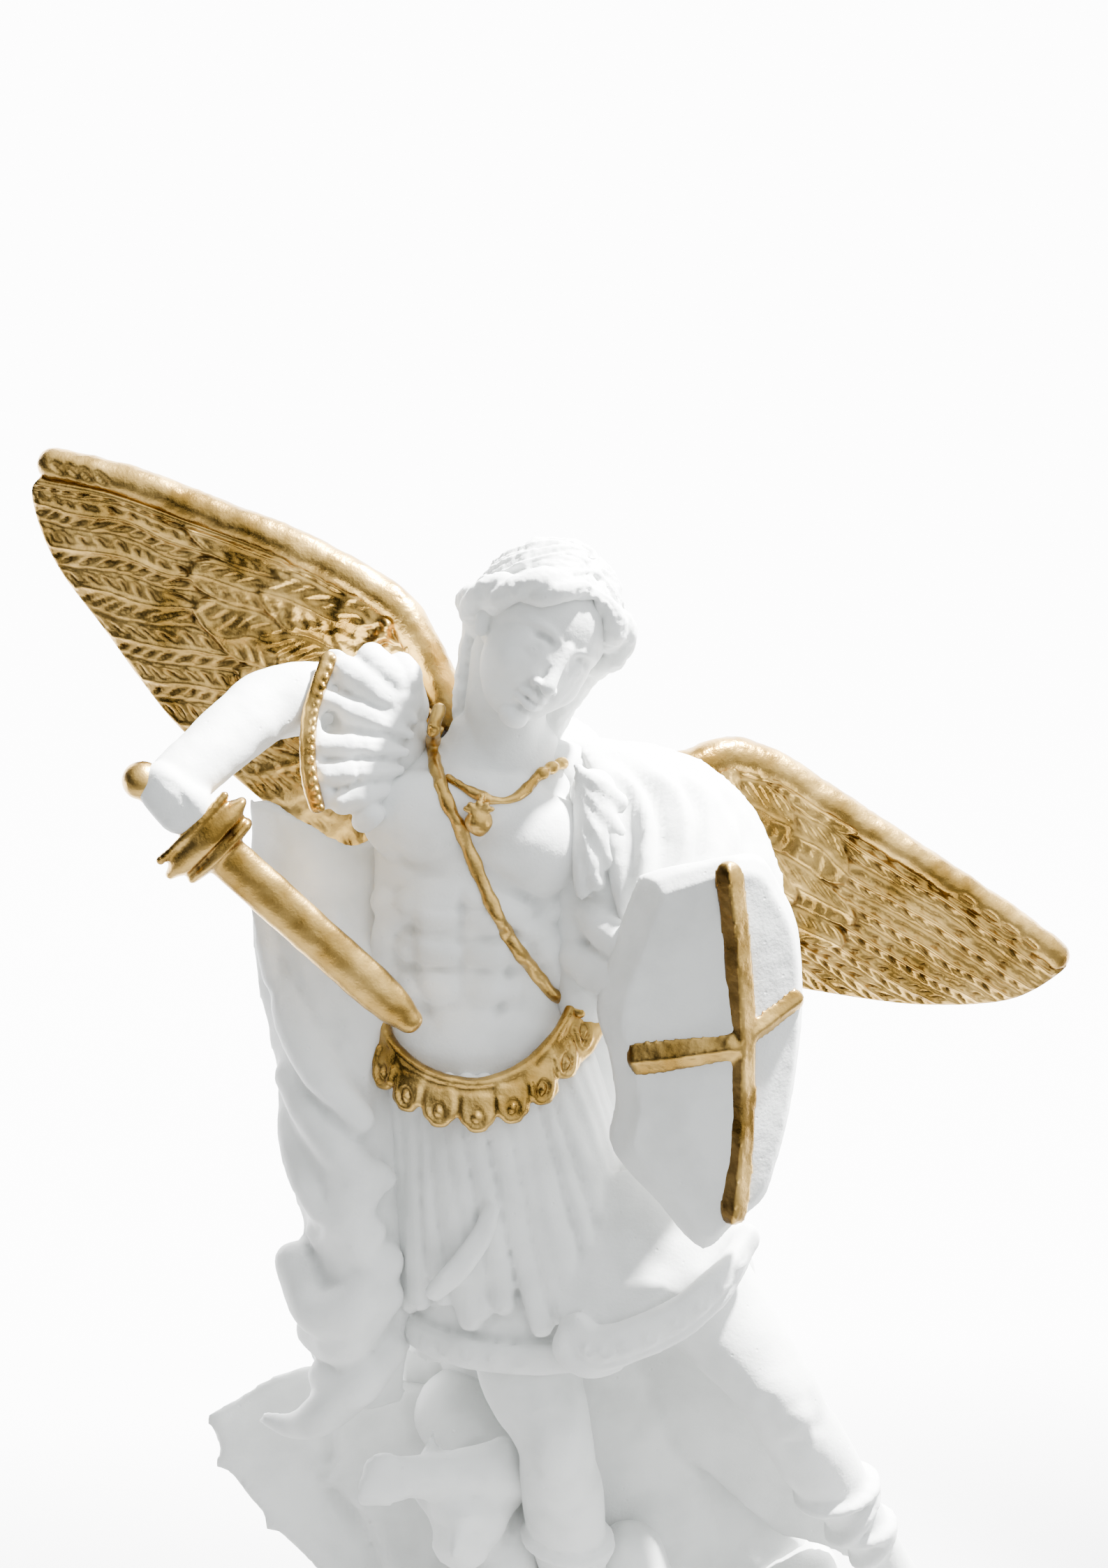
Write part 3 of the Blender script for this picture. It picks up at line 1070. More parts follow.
clay = bmesh.new()
ball(clay, (0, 3.5, 3.0), (13.0, 15.0, 14.2), frame=HEAD)
ball(clay, (0, -3.4, -3.4), (10.8, 9.4, 12.8), frame=HEAD)
ball(clay, (0, -4.4, -9.8), (8.0, 7.2, 7.0), frame=HEAD)
ball(clay, (0, -9.6, -14.6), (3.2, 2.7, 2.5), frame=HEAD)
limb(clay, [(0, -11.2, 2.6, 1.2), (0, -12.8, -1.5, 1.2), (0, -14.4, -5.2, 1.5)], frame=HEAD)
ball(clay, (0, -14.3, -5.6), (1.7, 1.6, 1.5), frame=HEAD)
limb(clay, [(-3.2, -11.2, -9.3, 0.6), (-1.2, -12.8, -8.7, 0.95), (0, -12.7, -8.9, 0.85),
            (1.2, -12.8, -8.7, 0.95), (3.2, -11.2, -9.3, 0.6)], frame=HEAD)
limb(clay, [(-2.6, -11.3, -10.4, 0.8), (0, -12.6, -10.7, 1.25), (2.6, -11.3, -10.4, 0.8)],
     frame=HEAD)
for side in (-1, 1):
    ball(clay, (side * 1.8, -12.8, -5.9), (1.25, 1.5, 1.1), frame=HEAD)
    ball(clay, (side * 5.2, -6.4, -5.2), (4.9, 4.4, 5.2), frame=HEAD)
    limb(clay, [(side * 9.4, -5.6, 1.8, 0.9), (side * 7.4, -8.1, 3.2, 1.1),
                (side * 4.6, -10.0, 3.5, 1.2), (side * 1.6, -10.8, 2.6, 0.9)], frame=HEAD)
    ball(clay, (side * 4.9, -8.1, 0.0), (2.5, 2.3, 1.9), frame=HEAD)
    limb(clay, [(side * 2.3, -9.7, -0.4, 0.40), (side * 3.8, -10.7, 0.8, 0.60),
                (side * 5.4, -10.5, 0.8, 0.60), (side * 7.5, -8.7, -0.4, 0.40)], frame=HEAD)
    limb(clay, [(side * 2.4, -9.7, -0.7, 0.34), (side * 4.9, -10.2, -1.9, 0.46),
                (side * 7.4, -8.7, -0.8, 0.34)], frame=HEAD)
    limb(clay, [(side * 12.2, 1.0, 0.5, 1.4), (side * 12.6, 1.2, -2.5, 1.5),
                (side * 11.8, 0.4, -5.6, 1.2)], frame=HEAD)
head = Carving(fused("head", clay, 0.42, soften=3))
for side in (-1, 1):
    head.stroke([on_head(side * 2.2, -10.6, 1.4), on_head(side * 4.9, -11.2, 2.0),
                 on_head(side * 7.8, -9.2, 1.0)], 0.9, -0.7, deep=1.0)
    head.stroke([on_head(side * 2.2, -10.8, -1.6), on_head(side * 4.9, -10.6, -2.8),
                 on_head(side * 7.4, -9.0, -1.8)], 1.0, -0.6, deep=1.0)
    head.dent(on_head(side * 2.1, -10.6, 0.2), 1.3, -0.9)
    head.stroke([on_head(side * 2.6, -10.2, -0.9), on_head(side * 4.9, -11.0, -0.5),
                 on_head(side * 7.2, -9.0, -1.0)], 0.32, -0.45, deep=1.0)
    head.dent(on_head(side * 1.5, -13.6, -6.9), 0.65, -0.9)
    head.stroke([on_head(side * 2.9, -12.4, -6.2), on_head(side * 4.3, -11.4, -8.6)], 0.8, -0.25,
                deep=1.0)
    head.dent(on_head(side * 3.5, -11.4, -9.5), 0.6, -0.35)
head.stroke([on_head(-3.4, -11.6, -9.7), on_head(-1.4, -13.0, -9.6), on_head(0, -13.2, -9.8),
             on_head(1.4, -13.0, -9.6), on_head(3.4, -11.6, -9.7)], 0.42, -0.75, deep=1.0)
head.stroke([on_head(0, -13.4, -7.0), on_head(0, -13.2, -8.3)], 0.6, -0.3, deep=1.0)
head.stroke([on_head(-2.2, -11.8, -12.1), on_head(0, -12.4, -12.4), on_head(2.2, -11.8, -12.1)],
            0.9, -0.45, deep=1.0)
head.lumps(5.0, 0.12, 17)
head.done(white_skin)


# The hair
# Long wavy hair is parted over the brow, rolled back over the ears in thick locks and let
# fall behind the neck. Each lock was combed with a pointed tool while the clay was soft.
def on_skull(side, turn, rise, lift=0.0):
    """A point over the skull in the head's own frame: turn degrees round from the face to
    one side, rise degrees up, and lifted off it in millimetres."""
    a, b = math.radians(turn), math.radians(rise)
    return Vector((
        (13.2 + lift) * side * math.sin(a) * math.cos(b),
        3.5 - (15.2 + lift) * math.cos(a) * math.cos(b),
        3.0 + (14.4 + lift) * math.sin(b),
    ))


def lock(clay, path, width, lifts, wave, rise=0.0):
    """One lock over the skull along (turn, rise) pairs: it waves across its own way, and
    fills out from a thin start."""
    side, pairs = path
    curve = through([(turn, up, 0) for turn, up in pairs], 4)
    knots = []
    for k, place in enumerate(curve):
        share = k / (len(curve) - 1)
        sway = wave * math.sin(2 * math.pi * (1.7 * share) + rise)
        p = on_skull(side, place.x, place.y + sway, lifts * (0.4 + 0.6 * math.sin(math.pi * share)))
        half = width * (0.45 + 0.55 * math.sin(math.pi * min(share * 1.15 + 0.1, 0.75)))
        knots.append((*p, half, half * 0.9))
    return limb(clay, knots, sides=14, steps=2, across=(0, 0.4, 1), frame=HEAD)


clay = bmesh.new()
locks = []
ball(clay, (0, 6.4, 3.2), (12.9, 13.0, 14.1), frame=HEAD)
for side in (-1, 1):
    for row in range(9):
        bend = 30 + 7 * row
        pairs = [(2, 54 + 11 * row), (bend, 44 + 7 * row), (bend + 28, 22 + 2 * row),
                 (82 + 8 * row, 2 - 4 * row)]
        locks.append((lock(clay, (side, pairs), 1.75, 0.5 + 0.5 * (row % 2), 5.0, 0.8 * row), 1.7))
    hairline = [(1, 47), (24, 40), (46, 27), (64, 11), (80, -5), (98, -20), (118, -27)]
    for strand in (0, 1):
        curve = through([(*p, 0) for p in hairline], 5)
        knots = []
        for k, place in enumerate(curve):
            share = k / (len(curve) - 1)
            turn = 2 * math.pi * 1.7 * share + math.pi * strand
            spread = 1.5 * math.sin(math.pi * min(share * 1.1, 0.5))
            p = on_skull(side, place.x, place.y + 5.0 * spread * math.cos(turn),
                         0.8 + 1.0 * spread * math.sin(turn))
            half = 1.0 + 1.7 * math.sin(math.pi * min(share * 1.3, 0.6))
            knots.append((*p, half))
        locks.append((limb(clay, knots, sides=14, steps=2, frame=HEAD), 1.6))
    locks.append((lock(clay, (side, [(96, 4), (108, -14), (118, -34), (130, -48)]), 2.3, 0.6, 6.0, side),
                  1.8))
crown = [on_skull(-1, 120, 40, 0.4), on_skull(-1, 130, 62, 0.9), on_skull(1, 0, 100, 1.0),
         on_skull(1, 130, 62, 0.9), on_skull(1, 120, 40, 0.4)]
locks.append((limb(clay, [(*p, 1.7) for p in crown], frame=HEAD), 1.8))
for fall in (
    [(-12, 4, 267, 5.2), (-13.6, 4.5, 258.5, 4.8), (-15.2, 5, 250, 4.4), (-15.4, 6, 243, 3.8)],
    [(9.0, 5, 267, 4.8), (5.6, 5, 258, 4.4), (0.6, 5.5, 250, 4.2), (-3, 6, 243, 3.8)],
    [(-2, 10, 268, 9, 6), (-4, 11, 257, 9.5, 6), (-7, 10, 245, 9.5, 5)],
):
    limb(clay, fall)
hair = Carving(fused("hair", clay, 0.45, soften=1))
middle = Vector(HEAD[0])
for path, half in locks:
    for share in (-0.62, -0.2, 0.25, 0.66):
        combed = []
        for i in range(0, len(path), 2):
            p = path[i]
            along = path[min(i + 1, len(path) - 1)] - path[max(i - 1, 0)]
            out = (p - middle).normalized()
            across = along.cross(out).normalized()
            combed.append(p + across * half * share + out * half * (0.9 - 0.4 * abs(share)))
        hair.stroke(combed, 0.38, -0.6, deep=1.0, ends=8)
for k in range(7):
    z = 263 - 3.1 * k
    for x, lean in ((-16.5, -0.9), (-12.5, 0.8), (6.5 - 1.3 * k, 0.9)):
        hair.stroke([(x + lean, -1, z + 1.6), (x - lean, -1, z - 0.4), (x + lean, -1, z - 2.2)],
                    0.7, -0.9, deep=0.3)
hair.lumps(3.0, 0.35, 18)
hair.lumps(1.1, 0.20, 36)
hair.done(white_skin)


# The gilded wings
# Two spread wings stand behind the shoulders. A fat smooth roll forms the leading edge; rows
# of round coverts and long primaries were cut below it, each with a shaft and slanting barbs,
# and all of it is painted gold, which is thin and brown in the cuts.
GOLD = (0.25, 0.142, 0.028, 1.0)
GOLD_PALE = (0.60, 0.39, 0.12, 1.0)
GOLD_THIN = (0.035, 0.016, 0.004, 1.0)
WING_THICKNESS = 4.2
WING_EDGE_THICKNESS = 8.5
PRIMARY_FEATHERS = 11
COVERT_FEATHERS = 7
WING_RAYS, WING_STEPS = 196, 140


def gold_paint(name, flake=1.0, thin_from=0.05, thin_left=0.0):
    """Metallic gold paint put on with a brush: flaky, patchy in gloss, thin in the hollows, and
    where thin_left is given also on the faces turned to the left."""
    look = bpy.data.materials.new(name)
    look.use_nodes = True
    nodes, links = look.node_tree.nodes, look.node_tree.links
    shader = nodes["Principled BSDF"]
    shader.inputs["Metallic"].default_value = 1.0
    place = nodes.new("ShaderNodeTexCoord")

    def speckle(scale, detail):
        node = nodes.new("ShaderNodeTexNoise")
        links.new(place.outputs["Object"], node.inputs["Vector"])
        node.inputs["Scale"].default_value = scale / MM / 1000
        node.inputs["Detail"].default_value = detail
        return node

    def spread(source, low, high, to_low, to_high):
        node = nodes.new("ShaderNodeMapRange")
        node.inputs["From Min"].default_value = low
        node.inputs["From Max"].default_value = high
        node.inputs["To Min"].default_value = to_low
        node.inputs["To Max"].default_value = to_high
        links.new(source, node.inputs["Value"])
        return node.outputs["Result"]

    def mixed(factor, first, second):
        node = nodes.new("ShaderNodeMix")
        node.data_type = "RGBA"
        links.new(factor, node.inputs["Factor"])
        for value, socket in ((first, "A"), (second, "B")):
            if isinstance(value, tuple):
                node.inputs[socket].default_value = value
            else:
                links.new(value, node.inputs[socket])
        return node.outputs["Result"]

    patches = speckle(110, 5.0)
    flakes = speckle(1700, 2.0)
    gold = mixed(spread(patches.outputs["Fac"], 0.35, 0.68, 0, 1), GOLD, GOLD_PALE)
    mark = nodes.new("ShaderNodeAttribute")
    mark.attribute_name = "hollow"
    thin = spread(mark.outputs["Fac"], thin_from, 0.75, 0, 0.95)
    if thin_left:
        turned = nodes.new("ShaderNodeSeparateXYZ")
        links.new(place.outputs["Normal"], turned.inputs["Vector"])
        most = nodes.new("ShaderNodeMath")
        most.operation = "MAXIMUM"
        links.new(thin, most.inputs[0])
        links.new(spread(turned.outputs["X"], -0.25, -0.60, 0, thin_left), most.inputs[1])
        thin = most.outputs["Value"]
    links.new(mixed(thin, gold, GOLD_THIN), shader.inputs["Base Color"])
    links.new(spread(patches.outputs["Fac"], 0.3, 0.7, 0.22, 0.40), shader.inputs["Roughness"])
    bump = nodes.new("ShaderNodeBump")
    bump.inputs["Strength"].default_value = 0.28 * flake
    bump.inputs["Distance"].default_value = 0.0003 * MM * 1000
    links.new(flakes.outputs["Fac"], bump.inputs["Height"])
    links.new(bump.outputs["Normal"], shader.inputs["Normal"])
    return look


gold_wing = gold_paint("gold_paint_wing")


def covert(across, along, width):
    """One covert feather's height: a soft vane, a raised shaft, and slanting barbs cut deep
    on both sides of it. across runs 0 to 1 over its width, along is in millimetres."""
    off = np.abs(across - 0.5)
    vane = 1 - (2 * off) ** 2
    shaft = np.exp(-(off * width / 0.40) ** 2)
    barbs = np.maximum(0, np.sin(2 * math.pi * (along + off * width * 0.9) / 2.7)) ** 2
    cut = barbs * np.exp(-((off - 0.25) / 0.14) ** 2)
    gap = np.exp(-((0.5 - off) * width / 0.40) ** 2)
    return 0.55 * vane + 0.40 * shaft - 0.80 * cut - 0.60 * gap


def primary(across, along, width):
    """One long flight feather's height: a sharp raised shaft with short cuts on both sides."""
    off = np.abs(across - 0.5)
    shaft = np.exp(-(off * width / 0.45) ** 2)
    cuts = np.maximum(0, np.sin(2 * math.pi * (along - off * width * 1.1) / 3.3)) ** 2
    cuts *= np.exp(-((off - 0.26) / 0.11) ** 2)
    gap = np.exp(-((0.5 - off) * width / 0.38) ** 2)
    return 0.35 + 0.80 * shaft - 1.00 * cuts - 0.55 * gap


def wing(name, lead, trail, seed, lobe=None):
    """Rays run from the wing's root to its trailing edge, under a thick leading edge.
    lead runs from root to tip, trail from tip to root, and lobe is a small roll at the tip."""
    lead_curve, trail_curve = through(lead, 12), through(trail, 12)
    fan, reach = np.meshgrid(np.linspace(0, 1, WING_RAYS + 1), np.linspace(0, 1, WING_STEPS + 1),
                             indexing="ij")
    ends = np.array([on_curve(trail_curve, f) for f in fan[:, 0]])
    edge_row = np.array([on_curve(lead_curve, r) for r in reach[0]])
    root, tip_end = np.array(lead_curve[0]), np.array(lead_curve[-1])
    straight = root + (ends - root)[:, None, :] * reach[..., None]
    bent = edge_row[None] + (ends - tip_end)[:, None, :] * reach[..., None]
    bend = (1 - smooth(0, 0.55, fan))[..., None]
    middle = straight * (1 - bend) + bent * bend
    length = np.linalg.norm(ends - root, axis=1)[:, None]
    along = reach * length
    side = np.linalg.norm(np.diff(middle, axis=0, append=middle[-1:]), axis=2) * WING_RAYS
    thin, thick = WING_THICKNESS / 2, WING_EDGE_THICKNESS / 2
    half = thin + (thick - thin) * (1 - smooth(0.0, 0.07, fan)) * (1 - 0.5 * reach)
    half *= 0.35 + 0.65 * np.sqrt(np.maximum(0, 1 - (1 - smooth(0, 0.06, fan)) ** 2))
    half *= 1 - 0.35 * smooth(0.9, 1.0, reach)

    def rough(scale, shift):
        return np.array([[noise.noise(Vector(p) / scale + Vector((0, 0, shift))) for p in line]
                         for line in middle.tolist()])

    slow, lumps, crumbs = rough(9.0, seed), rough(2.6, seed + 5), rough(1.2, seed + 9)
    place = fan * PRIMARY_FEATHERS + 0.16 * slow
    height = primary(place % 1, along + 1.3 * np.floor(place) + 2.2 * slow, side / PRIMARY_FEATHERS)
    for row in range(3):
        count = COVERT_FEATHERS - 2 * row
        place = fan * count + 0.5 * row + 0.2 * slow
        across = place % 1
        round_tip = np.sqrt(np.maximum(0, 1 - (2 * across - 1) ** 2))
        tip = 0.58 - 0.14 * row + 0.09 * round_tip + 0.03 * slow
        inside = smooth(tip + 0.008, tip - 0.008, reach)
        rim = np.exp(-((reach - tip + 0.012) / 0.010) ** 2)
        layer = 0.35 + 0.8 * covert(across, along + 0.9 * np.floor(place), side / count)
        layer += 0.35 * rim + 0.5 * smooth(tip - 0.17, tip, reach)
        height = height * (1 - inside) + layer * inside
    root_part = np.maximum(smooth(0.40, 0.22, reach + 0.10 * slow), smooth(0.84, 0.93, fan))
    scales = 0.9 + 1.9 * np.abs(lumps) + 0.9 * lumps + 0.7 * crumbs
    height = height * (1 - root_part) + scales * root_part + 0.30 * lumps + 0.16 * crumbs
    height *= smooth(0.035, 0.075, fan) * smooth(1.0, 0.985, reach)
    front, back = middle.copy(), middle.copy()
    front[..., 1] -= half + height
    back[..., 1] += half + 0.35 * height
    clay = bmesh.new()
    slab(clay, front.tolist(), back.tolist())
    piece = closed(clay)
    piece.name = piece.data.name = name
    piece.data.transform(Matrix.Scale(MM, 4))
    finish(piece, gold_wing)
    clay = bmesh.new()
    knots = [(*p, thick * (1.0 - 0.25 * k / (len(lead_curve) - 1)))
             for k, p in enumerate(lead_curve)][::6]
    path = limb(clay, knots, sides=24, steps=5)
    if lobe:
        limb(clay, lobe, across=(0, 0, 1))
    roll = Carving(fused(name + "_leading_edge", clay, 0.6))
    for k in range(4):
        start = on_curve(path, 0.86 + 0.035 * k) + Vector((0, -thick * 0.7, -1.5))
        roll.stroke([start, start + Vector((-3, 0, 3.0))], 0.6, -0.9, deep=0.3)
    roll.lumps(5.0, 0.35, seed)
    roll.lumps(1.5, 0.12, seed + 3)
    roll.done(gold_wing)


wing("raised_wing",
     [(-20, 11, 247), (-26.8, 14, 260.8), (-33.5, 16, 268.6), (-50.5, 19, 277.4),
      (-68, 22, 284.0), (-84, 24, 290.0), (-97.6, 26, 292.8)],
     [(-100.0, 26, 290.6), (-101.8, 26, 287.5), (-100.2, 26, 279.7), (-96.4, 26, 271.3),
      (-88.5, 25.5, 260.3), (-82, 25, 250.8), (-74, 24, 240.7), (-60, 20, 229),
      (-43, 14, 216.5), (-36, 12, 214.3), (-31, 10, 219)], 19,
     [(-84, 24.5, 283.6, 2.4, 2.0), (-99.0, 26, 286.4, 3.2, 2.4)])
wing("lowered_wing",
     [(10, 11, 226), (20, 13, 232.5), (27.5, 15, 234.6), (34.5, 18, 236.4), (43, 20, 233.3),
      (54, 21.5, 226.0), (68.6, 23, 216.3), (86.6, 25, 203.9), (102.2, 28, 192.2)],
     [(104.6, 28, 190.6), (103.2, 28, 188.8), (98, 27.5, 185.3), (92.3, 27, 183.2),
      (83.7, 26.5, 182.4), (72.1, 25.5, 182.9), (60.5, 24, 184.9), (48.3, 22, 187.6),
      (38, 18, 190), (28, 13, 196)], 20)


# The sword
# A short broad sword with a smooth rounded blade, an oval guard and a round pommel, held
# across the body. It is cast with the arm and painted gold.
BLADE_LENGTH, BLADE_WIDTH, BLADE_THICKNESS, GUARD_LENGTH = 50.0, 8.4, 5.6, 19.0
gold_smooth = gold_paint("gold_paint_smooth", 0.8, 0.15)
clay = bmesh.new()
blade_root = SWORD_POINT - aim * BLADE_LENGTH
half, thick = BLADE_WIDTH / 2, BLADE_THICKNESS / 2
limb(clay, [(*(blade_root - aim * 1.5), half, thick), (*blade_root.lerp(SWORD_POINT, 0.4), half, thick),
            (*blade_root.lerp(SWORD_POINT, 0.8), half * 0.95, thick),
            (*(SWORD_POINT - aim * 3.0), half * 0.62, thick * 0.8)], sides=28, across=edge)
guard = blade_root - aim * 4.6
reach = GUARD_LENGTH / 2
limb(clay, [(*(guard - edge * reach), 1.0, 1.8), (*(guard - edge * reach * 0.6), 2.9, 3.8),
            (*guard, 3.8, 4.8), (*(guard + edge * reach * 0.6), 2.9, 3.8),
            (*(guard + edge * reach), 1.0, 1.8)], across=aim)
ridge = guard + aim * 3.4
limb(clay, [(*(ridge - edge * reach * 0.75), 1.1, 2.2), (*(ridge - edge * reach * 0.4), 1.5, 3.6),
            (*(ridge + edge * reach * 0.4), 1.5, 3.6), (*(ridge + edge * reach * 0.75), 1.1, 2.2)],
     across=aim)
rope = guard - aim * 3.2
for k in range(15):
    side = (k / 7 - 1) * 0.9
    ball(clay, rope + edge * reach * side + Vector((0, -3.3 * math.cos(side * 1.35), 0)),
         (0.9, 1.0, 0.9))
limb(clay, [(*GRIP_END, 3.0), (*guard, 3.0)])
ball(clay, GRIP_END, (3.6, 3.6, 3.6))
sword = Carving(fused("sword", clay, 0.45))
groove = guard + aim * 2.5
sword.stroke([groove - edge * reach * 0.85 + Vector((0, -2, 0)), groove + Vector((0, -4.6, 0)),
              groove + edge * reach * 0.85 + Vector((0, -2, 0))], 0.5, -0.6)
sword.lumps(3.0, 0.16, 21)
sword.done(gold_smooth)


# The shield with its raised cross
# A tall ridged shield with notched sides hides the left hand. Its faces are flat plaster with
# a few bubbles, and a plain cross stands proud of it, painted gold by hand.
SHIELD_THICKNESS = 8.5
CROSS_WIDTH = 5.6
CROSS_UPRIGHT_THICKNESS, CROSS_LEFT_THICKNESS, CROSS_RIGHT_THICKNESS = 2.6, 2.0, 1.4
SHIELD_CENTRE = Vector((33.0, -31.5, 198.0))
SHIELD_RIDGE = 7.5
SHIELD_EDGE = [
    (-14.0, 24.5), (-7.0, 27.5), (0.0, 30.0), (5.0, 29.0), (8.0, 24.5), (12.0, 15.5),
    (13.2, 3.0), (13.0, -8.0), (11.4, -19.0), (8.5, -30.0), (6.0, -36.5), (0.5, -40.5),
    (-5.0, -45.5), (-11.0, -38.5), (-16.0, -33.5), (-19.6, -28.0), (-18.4, -20.0),
    (-19.6, -11.0), (-22.0, -2.0), (-19.0, 10.0),
]


def shield_face(x, z, lift):
    """A point over the shield: two faces slope back from the middle ridge."""
    back = SHIELD_RIDGE * abs(x) / 20 * (0.8 if x < 0 else 1.25)
    return SHIELD_CENTRE + Vector((x, back + 0.05 * z - lift, z))


clay = bmesh.new()
rim = through(SHIELD_EDGE, 6)[:-1]
rings = []
for share, lift, splay in ((0.80, -SHIELD_THICKNESS, 3.4), (0.97, -SHIELD_THICKNESS * 0.9, 3.8),
                           (1.0, -SHIELD_THICKNESS * 0.55, 2.6), (1.0, -2.2, 0.4),
                           (0.925, 0.0, 0.0), (0.62, 0.0, 0.0), (0.3, 0.0, 0.0), (0.02, 0.0, 0.0)):
    shift = 2 * (1 - share) if share > 0.7 else 0.0
    rings.append([shield_face(p.x * share - splay * smooth(0, 12, -p.x), p.y * share - shift, lift)
                  for p in rim])
skin(clay, rings)
shield = Carving(fused("shield", clay, 0.7, soften=0))
shield.lumps(14.0, 0.35, 22)
shield.lumps(2.6, 0.07, 23)
shield.dent((21.5, -34, 211), 0.7, -0.6, deep=0.5)
shield.stroke([(25.5, -36, 219.6), (27.0, -37, 220.4), (28.4, -38, 221.4)], 0.3, -0.4)
shield.done(white_skin)

gold_cross = gold_paint("gold_paint_cross", 0.7, 0.2, 0.8)
clay = bmesh.new()
half = CROSS_WIDTH / 2
limb(clay, [(*shield_face(x, z, -0.4), half, CROSS_UPRIGHT_THICKNESS) for x, z in (
    (-1.1, 27.4), (0.5, 14), (1.6, -2), (1.8, -18), (1.2, -30), (0.5, -37))],
     sides=4, across=(1, 0, 0))
limb(clay, [(*shield_face(x, -5.0 + 0.24 * x, -0.2), half * (1 - 0.014 * x), CROSS_LEFT_THICKNESS)
            for x in (-17.6, -9, 0)], sides=4, across=(0, 0, 1))
limb(clay, [(*shield_face(x, -5.0 + 0.62 * x, 0.0), half * 0.85, CROSS_RIGHT_THICKNESS)
            for x in (0, 6, 12)], sides=4, across=(0, 0, 1))
cross = Carving(fused("shield_cross", clay, 0.5, soften=1))
cross.lumps(6.0, 0.25, 24)
cross.lumps(1.2, 0.08, 34)
cross.done(gold_cross)


# The gilt belt of rounded tabs
# The breastplate's lower edge is a double moulding, with a row of overlapping rounded tabs
# below it. Each tab has a raised rim and a boss.
BELT_TABS = 9
gold_trim = gold_paint("gold_paint_trim", 1.0, 0.05)
belt_curve = through([(-33.6, -2, 187), (-31.4, -9, 183), (-24.5, -15, 179), (-14.5, -17.6, 177.6),
                      (-5.4, -16.0, 180.5), (1.2, -11.2, 186), (5.6, -4, 193)], 8)
clay = bmesh.new()
limb(clay, [(*(p + Vector((0, -0.3, 2.0))), 2.6, 1.5) for p in belt_curve[::4]], across=(0, 0, 1))
for lift, out, half in ((3.6, -1.2, 0.9), (1.4, -1.7, 0.8)):
    limb(clay, [(*(p + Vector((0, out, lift))), half) for p in belt_curve[::4]], across=(0, 0, 1))
tabs = []
for k in range(BELT_TABS):
    share = (k + 0.5) / BELT_TABS
    top = on_curve(belt_curve, share) + Vector((0, -1.9, 1.2))
    along = (on_curve(belt_curve, share + 0.03) - on_curve(belt_curve, share - 0.03)).normalized()
    fall = Vector((0.35 * (share - 0.5) * 2, -0.30, -1)).normalized()
    limb(clay, [(*top, 3.3, 1.0), (*(top + fall * 2.6), 3.5, 1.2), (*(top + fall * 4.6), 3.3, 1.2),
                (*(top + fall * 5.8), 2.0, 1.0)], across=along, square=0.7)
    tabs.append((top, along, fall))
limb(clay, [(1.5, -12.6, 184.5, 3.4, 1.5), (4.6, -9.6, 187.5, 4.2, 1.6),
            (7.4, -6.4, 191.0, 3.6, 1.5)], across=(0.45, -0.2, -0.85), square=0.7)
belt = Carving(fused("belt", clay, 0.4))
for top, along, fall in tabs:
    out = along.cross(fall)
    out = out if out.y < 0 else -out
    boss = top + fall * 3.7 + out * 1.5
    belt.stroke([top + fall * drop + along * wide * 2.75 + out * 1.4 for drop, wide in (
        (0.4, -1), (2.4, -1), (4.4, -0.9), (5.9, -0.5), (6.2, 0), (5.9, 0.5), (4.4, 0.9),
        (2.4, 1), (0.4, 1))], 0.40, 0.55, deep=1.0, ends=99)
    belt.stroke([boss + along * math.cos(a) * 1.25 + fall * math.sin(a) * 1.45
                 for a in (0, 1, 2, 3, 4, 5, 6.28)], 0.34, -0.6, deep=1.0, ends=99)
    belt.dent(boss, 0.6, 0.5)
belt.lumps(2.0, 0.12, 25)
belt.done(gold_trim)


# The sword belt, the neck trim with its hanging ball, and the sleeve's border
# Narrow raised bands in the same plaster, painted gold with an unsteady hand.
SWORD_BELT_WIDTH = 2.8
body_tree = BVHTree.FromObject(chest.piece, bpy.context.evaluated_depsgraph_get())


def on_body(points, lift):
    """The points moved along the camera's sight line onto the breastplate."""
    laid = []
    for p in points:
        way = (Vector(p) - EYE).normalized()
        hit = body_tree.ray_cast(EYE * MM, way)[0]
        laid.append((hit / MM if hit else Vector(p)) - way * lift)
    return laid


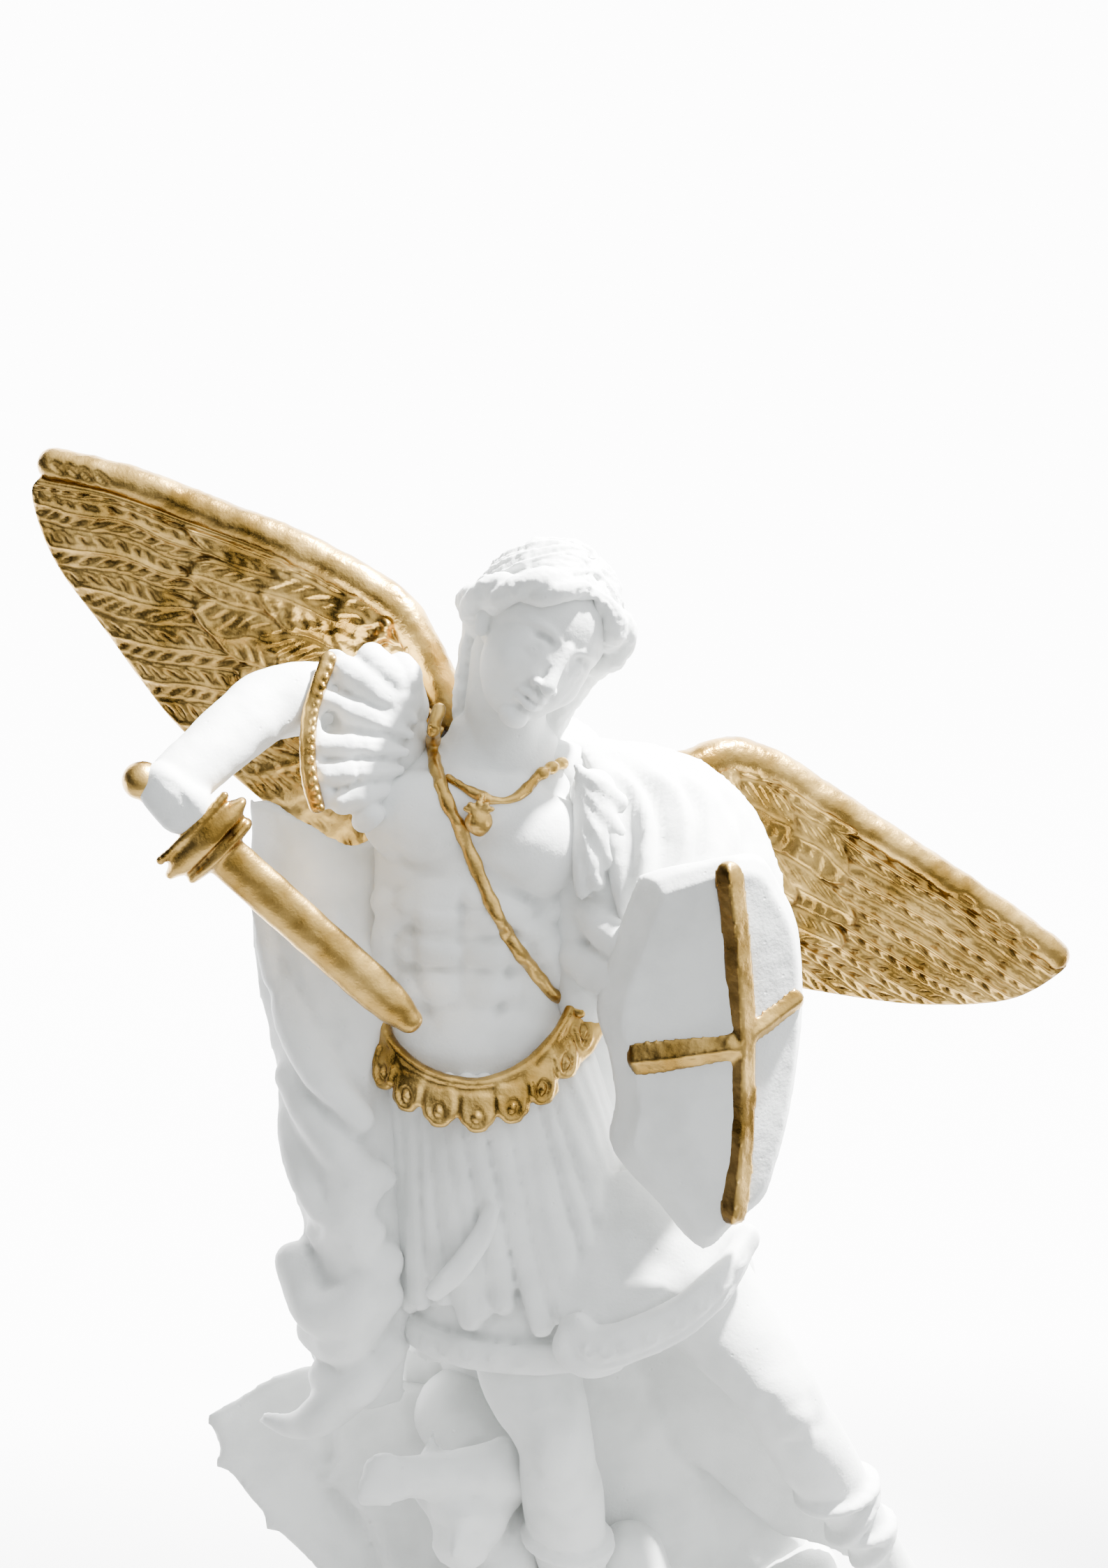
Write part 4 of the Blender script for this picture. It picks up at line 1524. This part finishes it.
clay = bmesh.new()
strap = through([(-21.8, -3, 250.5), (-22.7, -6, 246.7), (-22.3, -10, 242.1), (-20.8, -13, 237.0),
                 (-18.4, -15.5, 232.2), (-16.1, -16.5, 227.1), (-13.2, -16.5, 219.8),
                 (-10.3, -16, 213.0), (-7.4, -15, 207.2), (-4.6, -14, 203.2), (-1.5, -12, 198.2),
                 (2.1, -10, 194.4), (6.2, -8, 191.2)], 2)
laid = on_body(strap, 0.2)
limb(clay, [(*p, SWORD_BELT_WIDTH / 2 * (1 + 0.12 * math.sin(3 * i)), 1.1)
            for i, p in enumerate(laid)], steps=3, across=(1, 0, 0.3))
sword_belt = Carving(fused("sword_belt", clay, 0.4))
sword_belt.lumps(2.5, 0.3, 26)
sword_belt.done(gold_trim)

clay = bmesh.new()
neck = on_body(through([(-19.7, -11, 238.9), (-16.6, -13, 237.5), (-13.1, -14, 236.0),
                        (-9.7, -14, 235.3), (-6.2, -13, 236.3), (-2.7, -10, 239.2),
                        (0.9, -8, 240.6)], 2), 0.1)
limb(clay, [(*p, 0.95 + 0.2 * math.sin(5 * i)) for i, p in enumerate(neck)], steps=3)
for k in range(3):
    ball(clay, neck[-1 - k] + Vector((0.5, -0.4, 0.5)), (1.5, 1.2, 1.3))
pendant = on_body([(-14.0, -16, 231.7)], 1.4)[0]
ball(clay, pendant, (2.6, 2.3, 2.7))
for turn in range(5):
    a = math.radians(-70 + 35 * turn)
    tip = pendant + Vector((2.6 * math.sin(a), -0.6, 2.0 + 1.9 * math.cos(a)))
    limb(clay, [(*(pendant + Vector((0, -0.4, 1.8))), 0.8), (*tip, 0.55)])
limb(clay, [(*(pendant + Vector((0, 0.4, 2.2))), 0.6), (*(pendant + Vector((0.6, 0.6, 5.0))), 0.6)])
neck_trim = Carving(fused("neck_trim_and_pendant", clay, 0.3))
neck_trim.lumps(1.6, 0.2, 27)
neck_trim.done(gold_trim)

clay = bmesh.new()
border = through([(-42.3, -3, 260.2), (-44.2, -6.5, 255.2), (-45.6, -8.5, 250.6),
                  (-46.0, -10.5, 245.2), (-45.6, -12.5, 239.3), (-44.2, -13.5, 234.0)], 6)
limb(clay, [(*p, 1.25, 1.6) for p in border[::3]], steps=3, across=(0, 1, 0))
for k in range(17):
    p = on_curve(border, k / 16)
    ball(clay, p + Vector((0.9, -1.1, 0)), (0.75, 0.8, 0.75))
sleeve_trim = Carving(fused("sleeve_border", clay, 0.35))
sleeve_trim.lumps(1.6, 0.15, 28)
sleeve_trim.done(gold_trim)
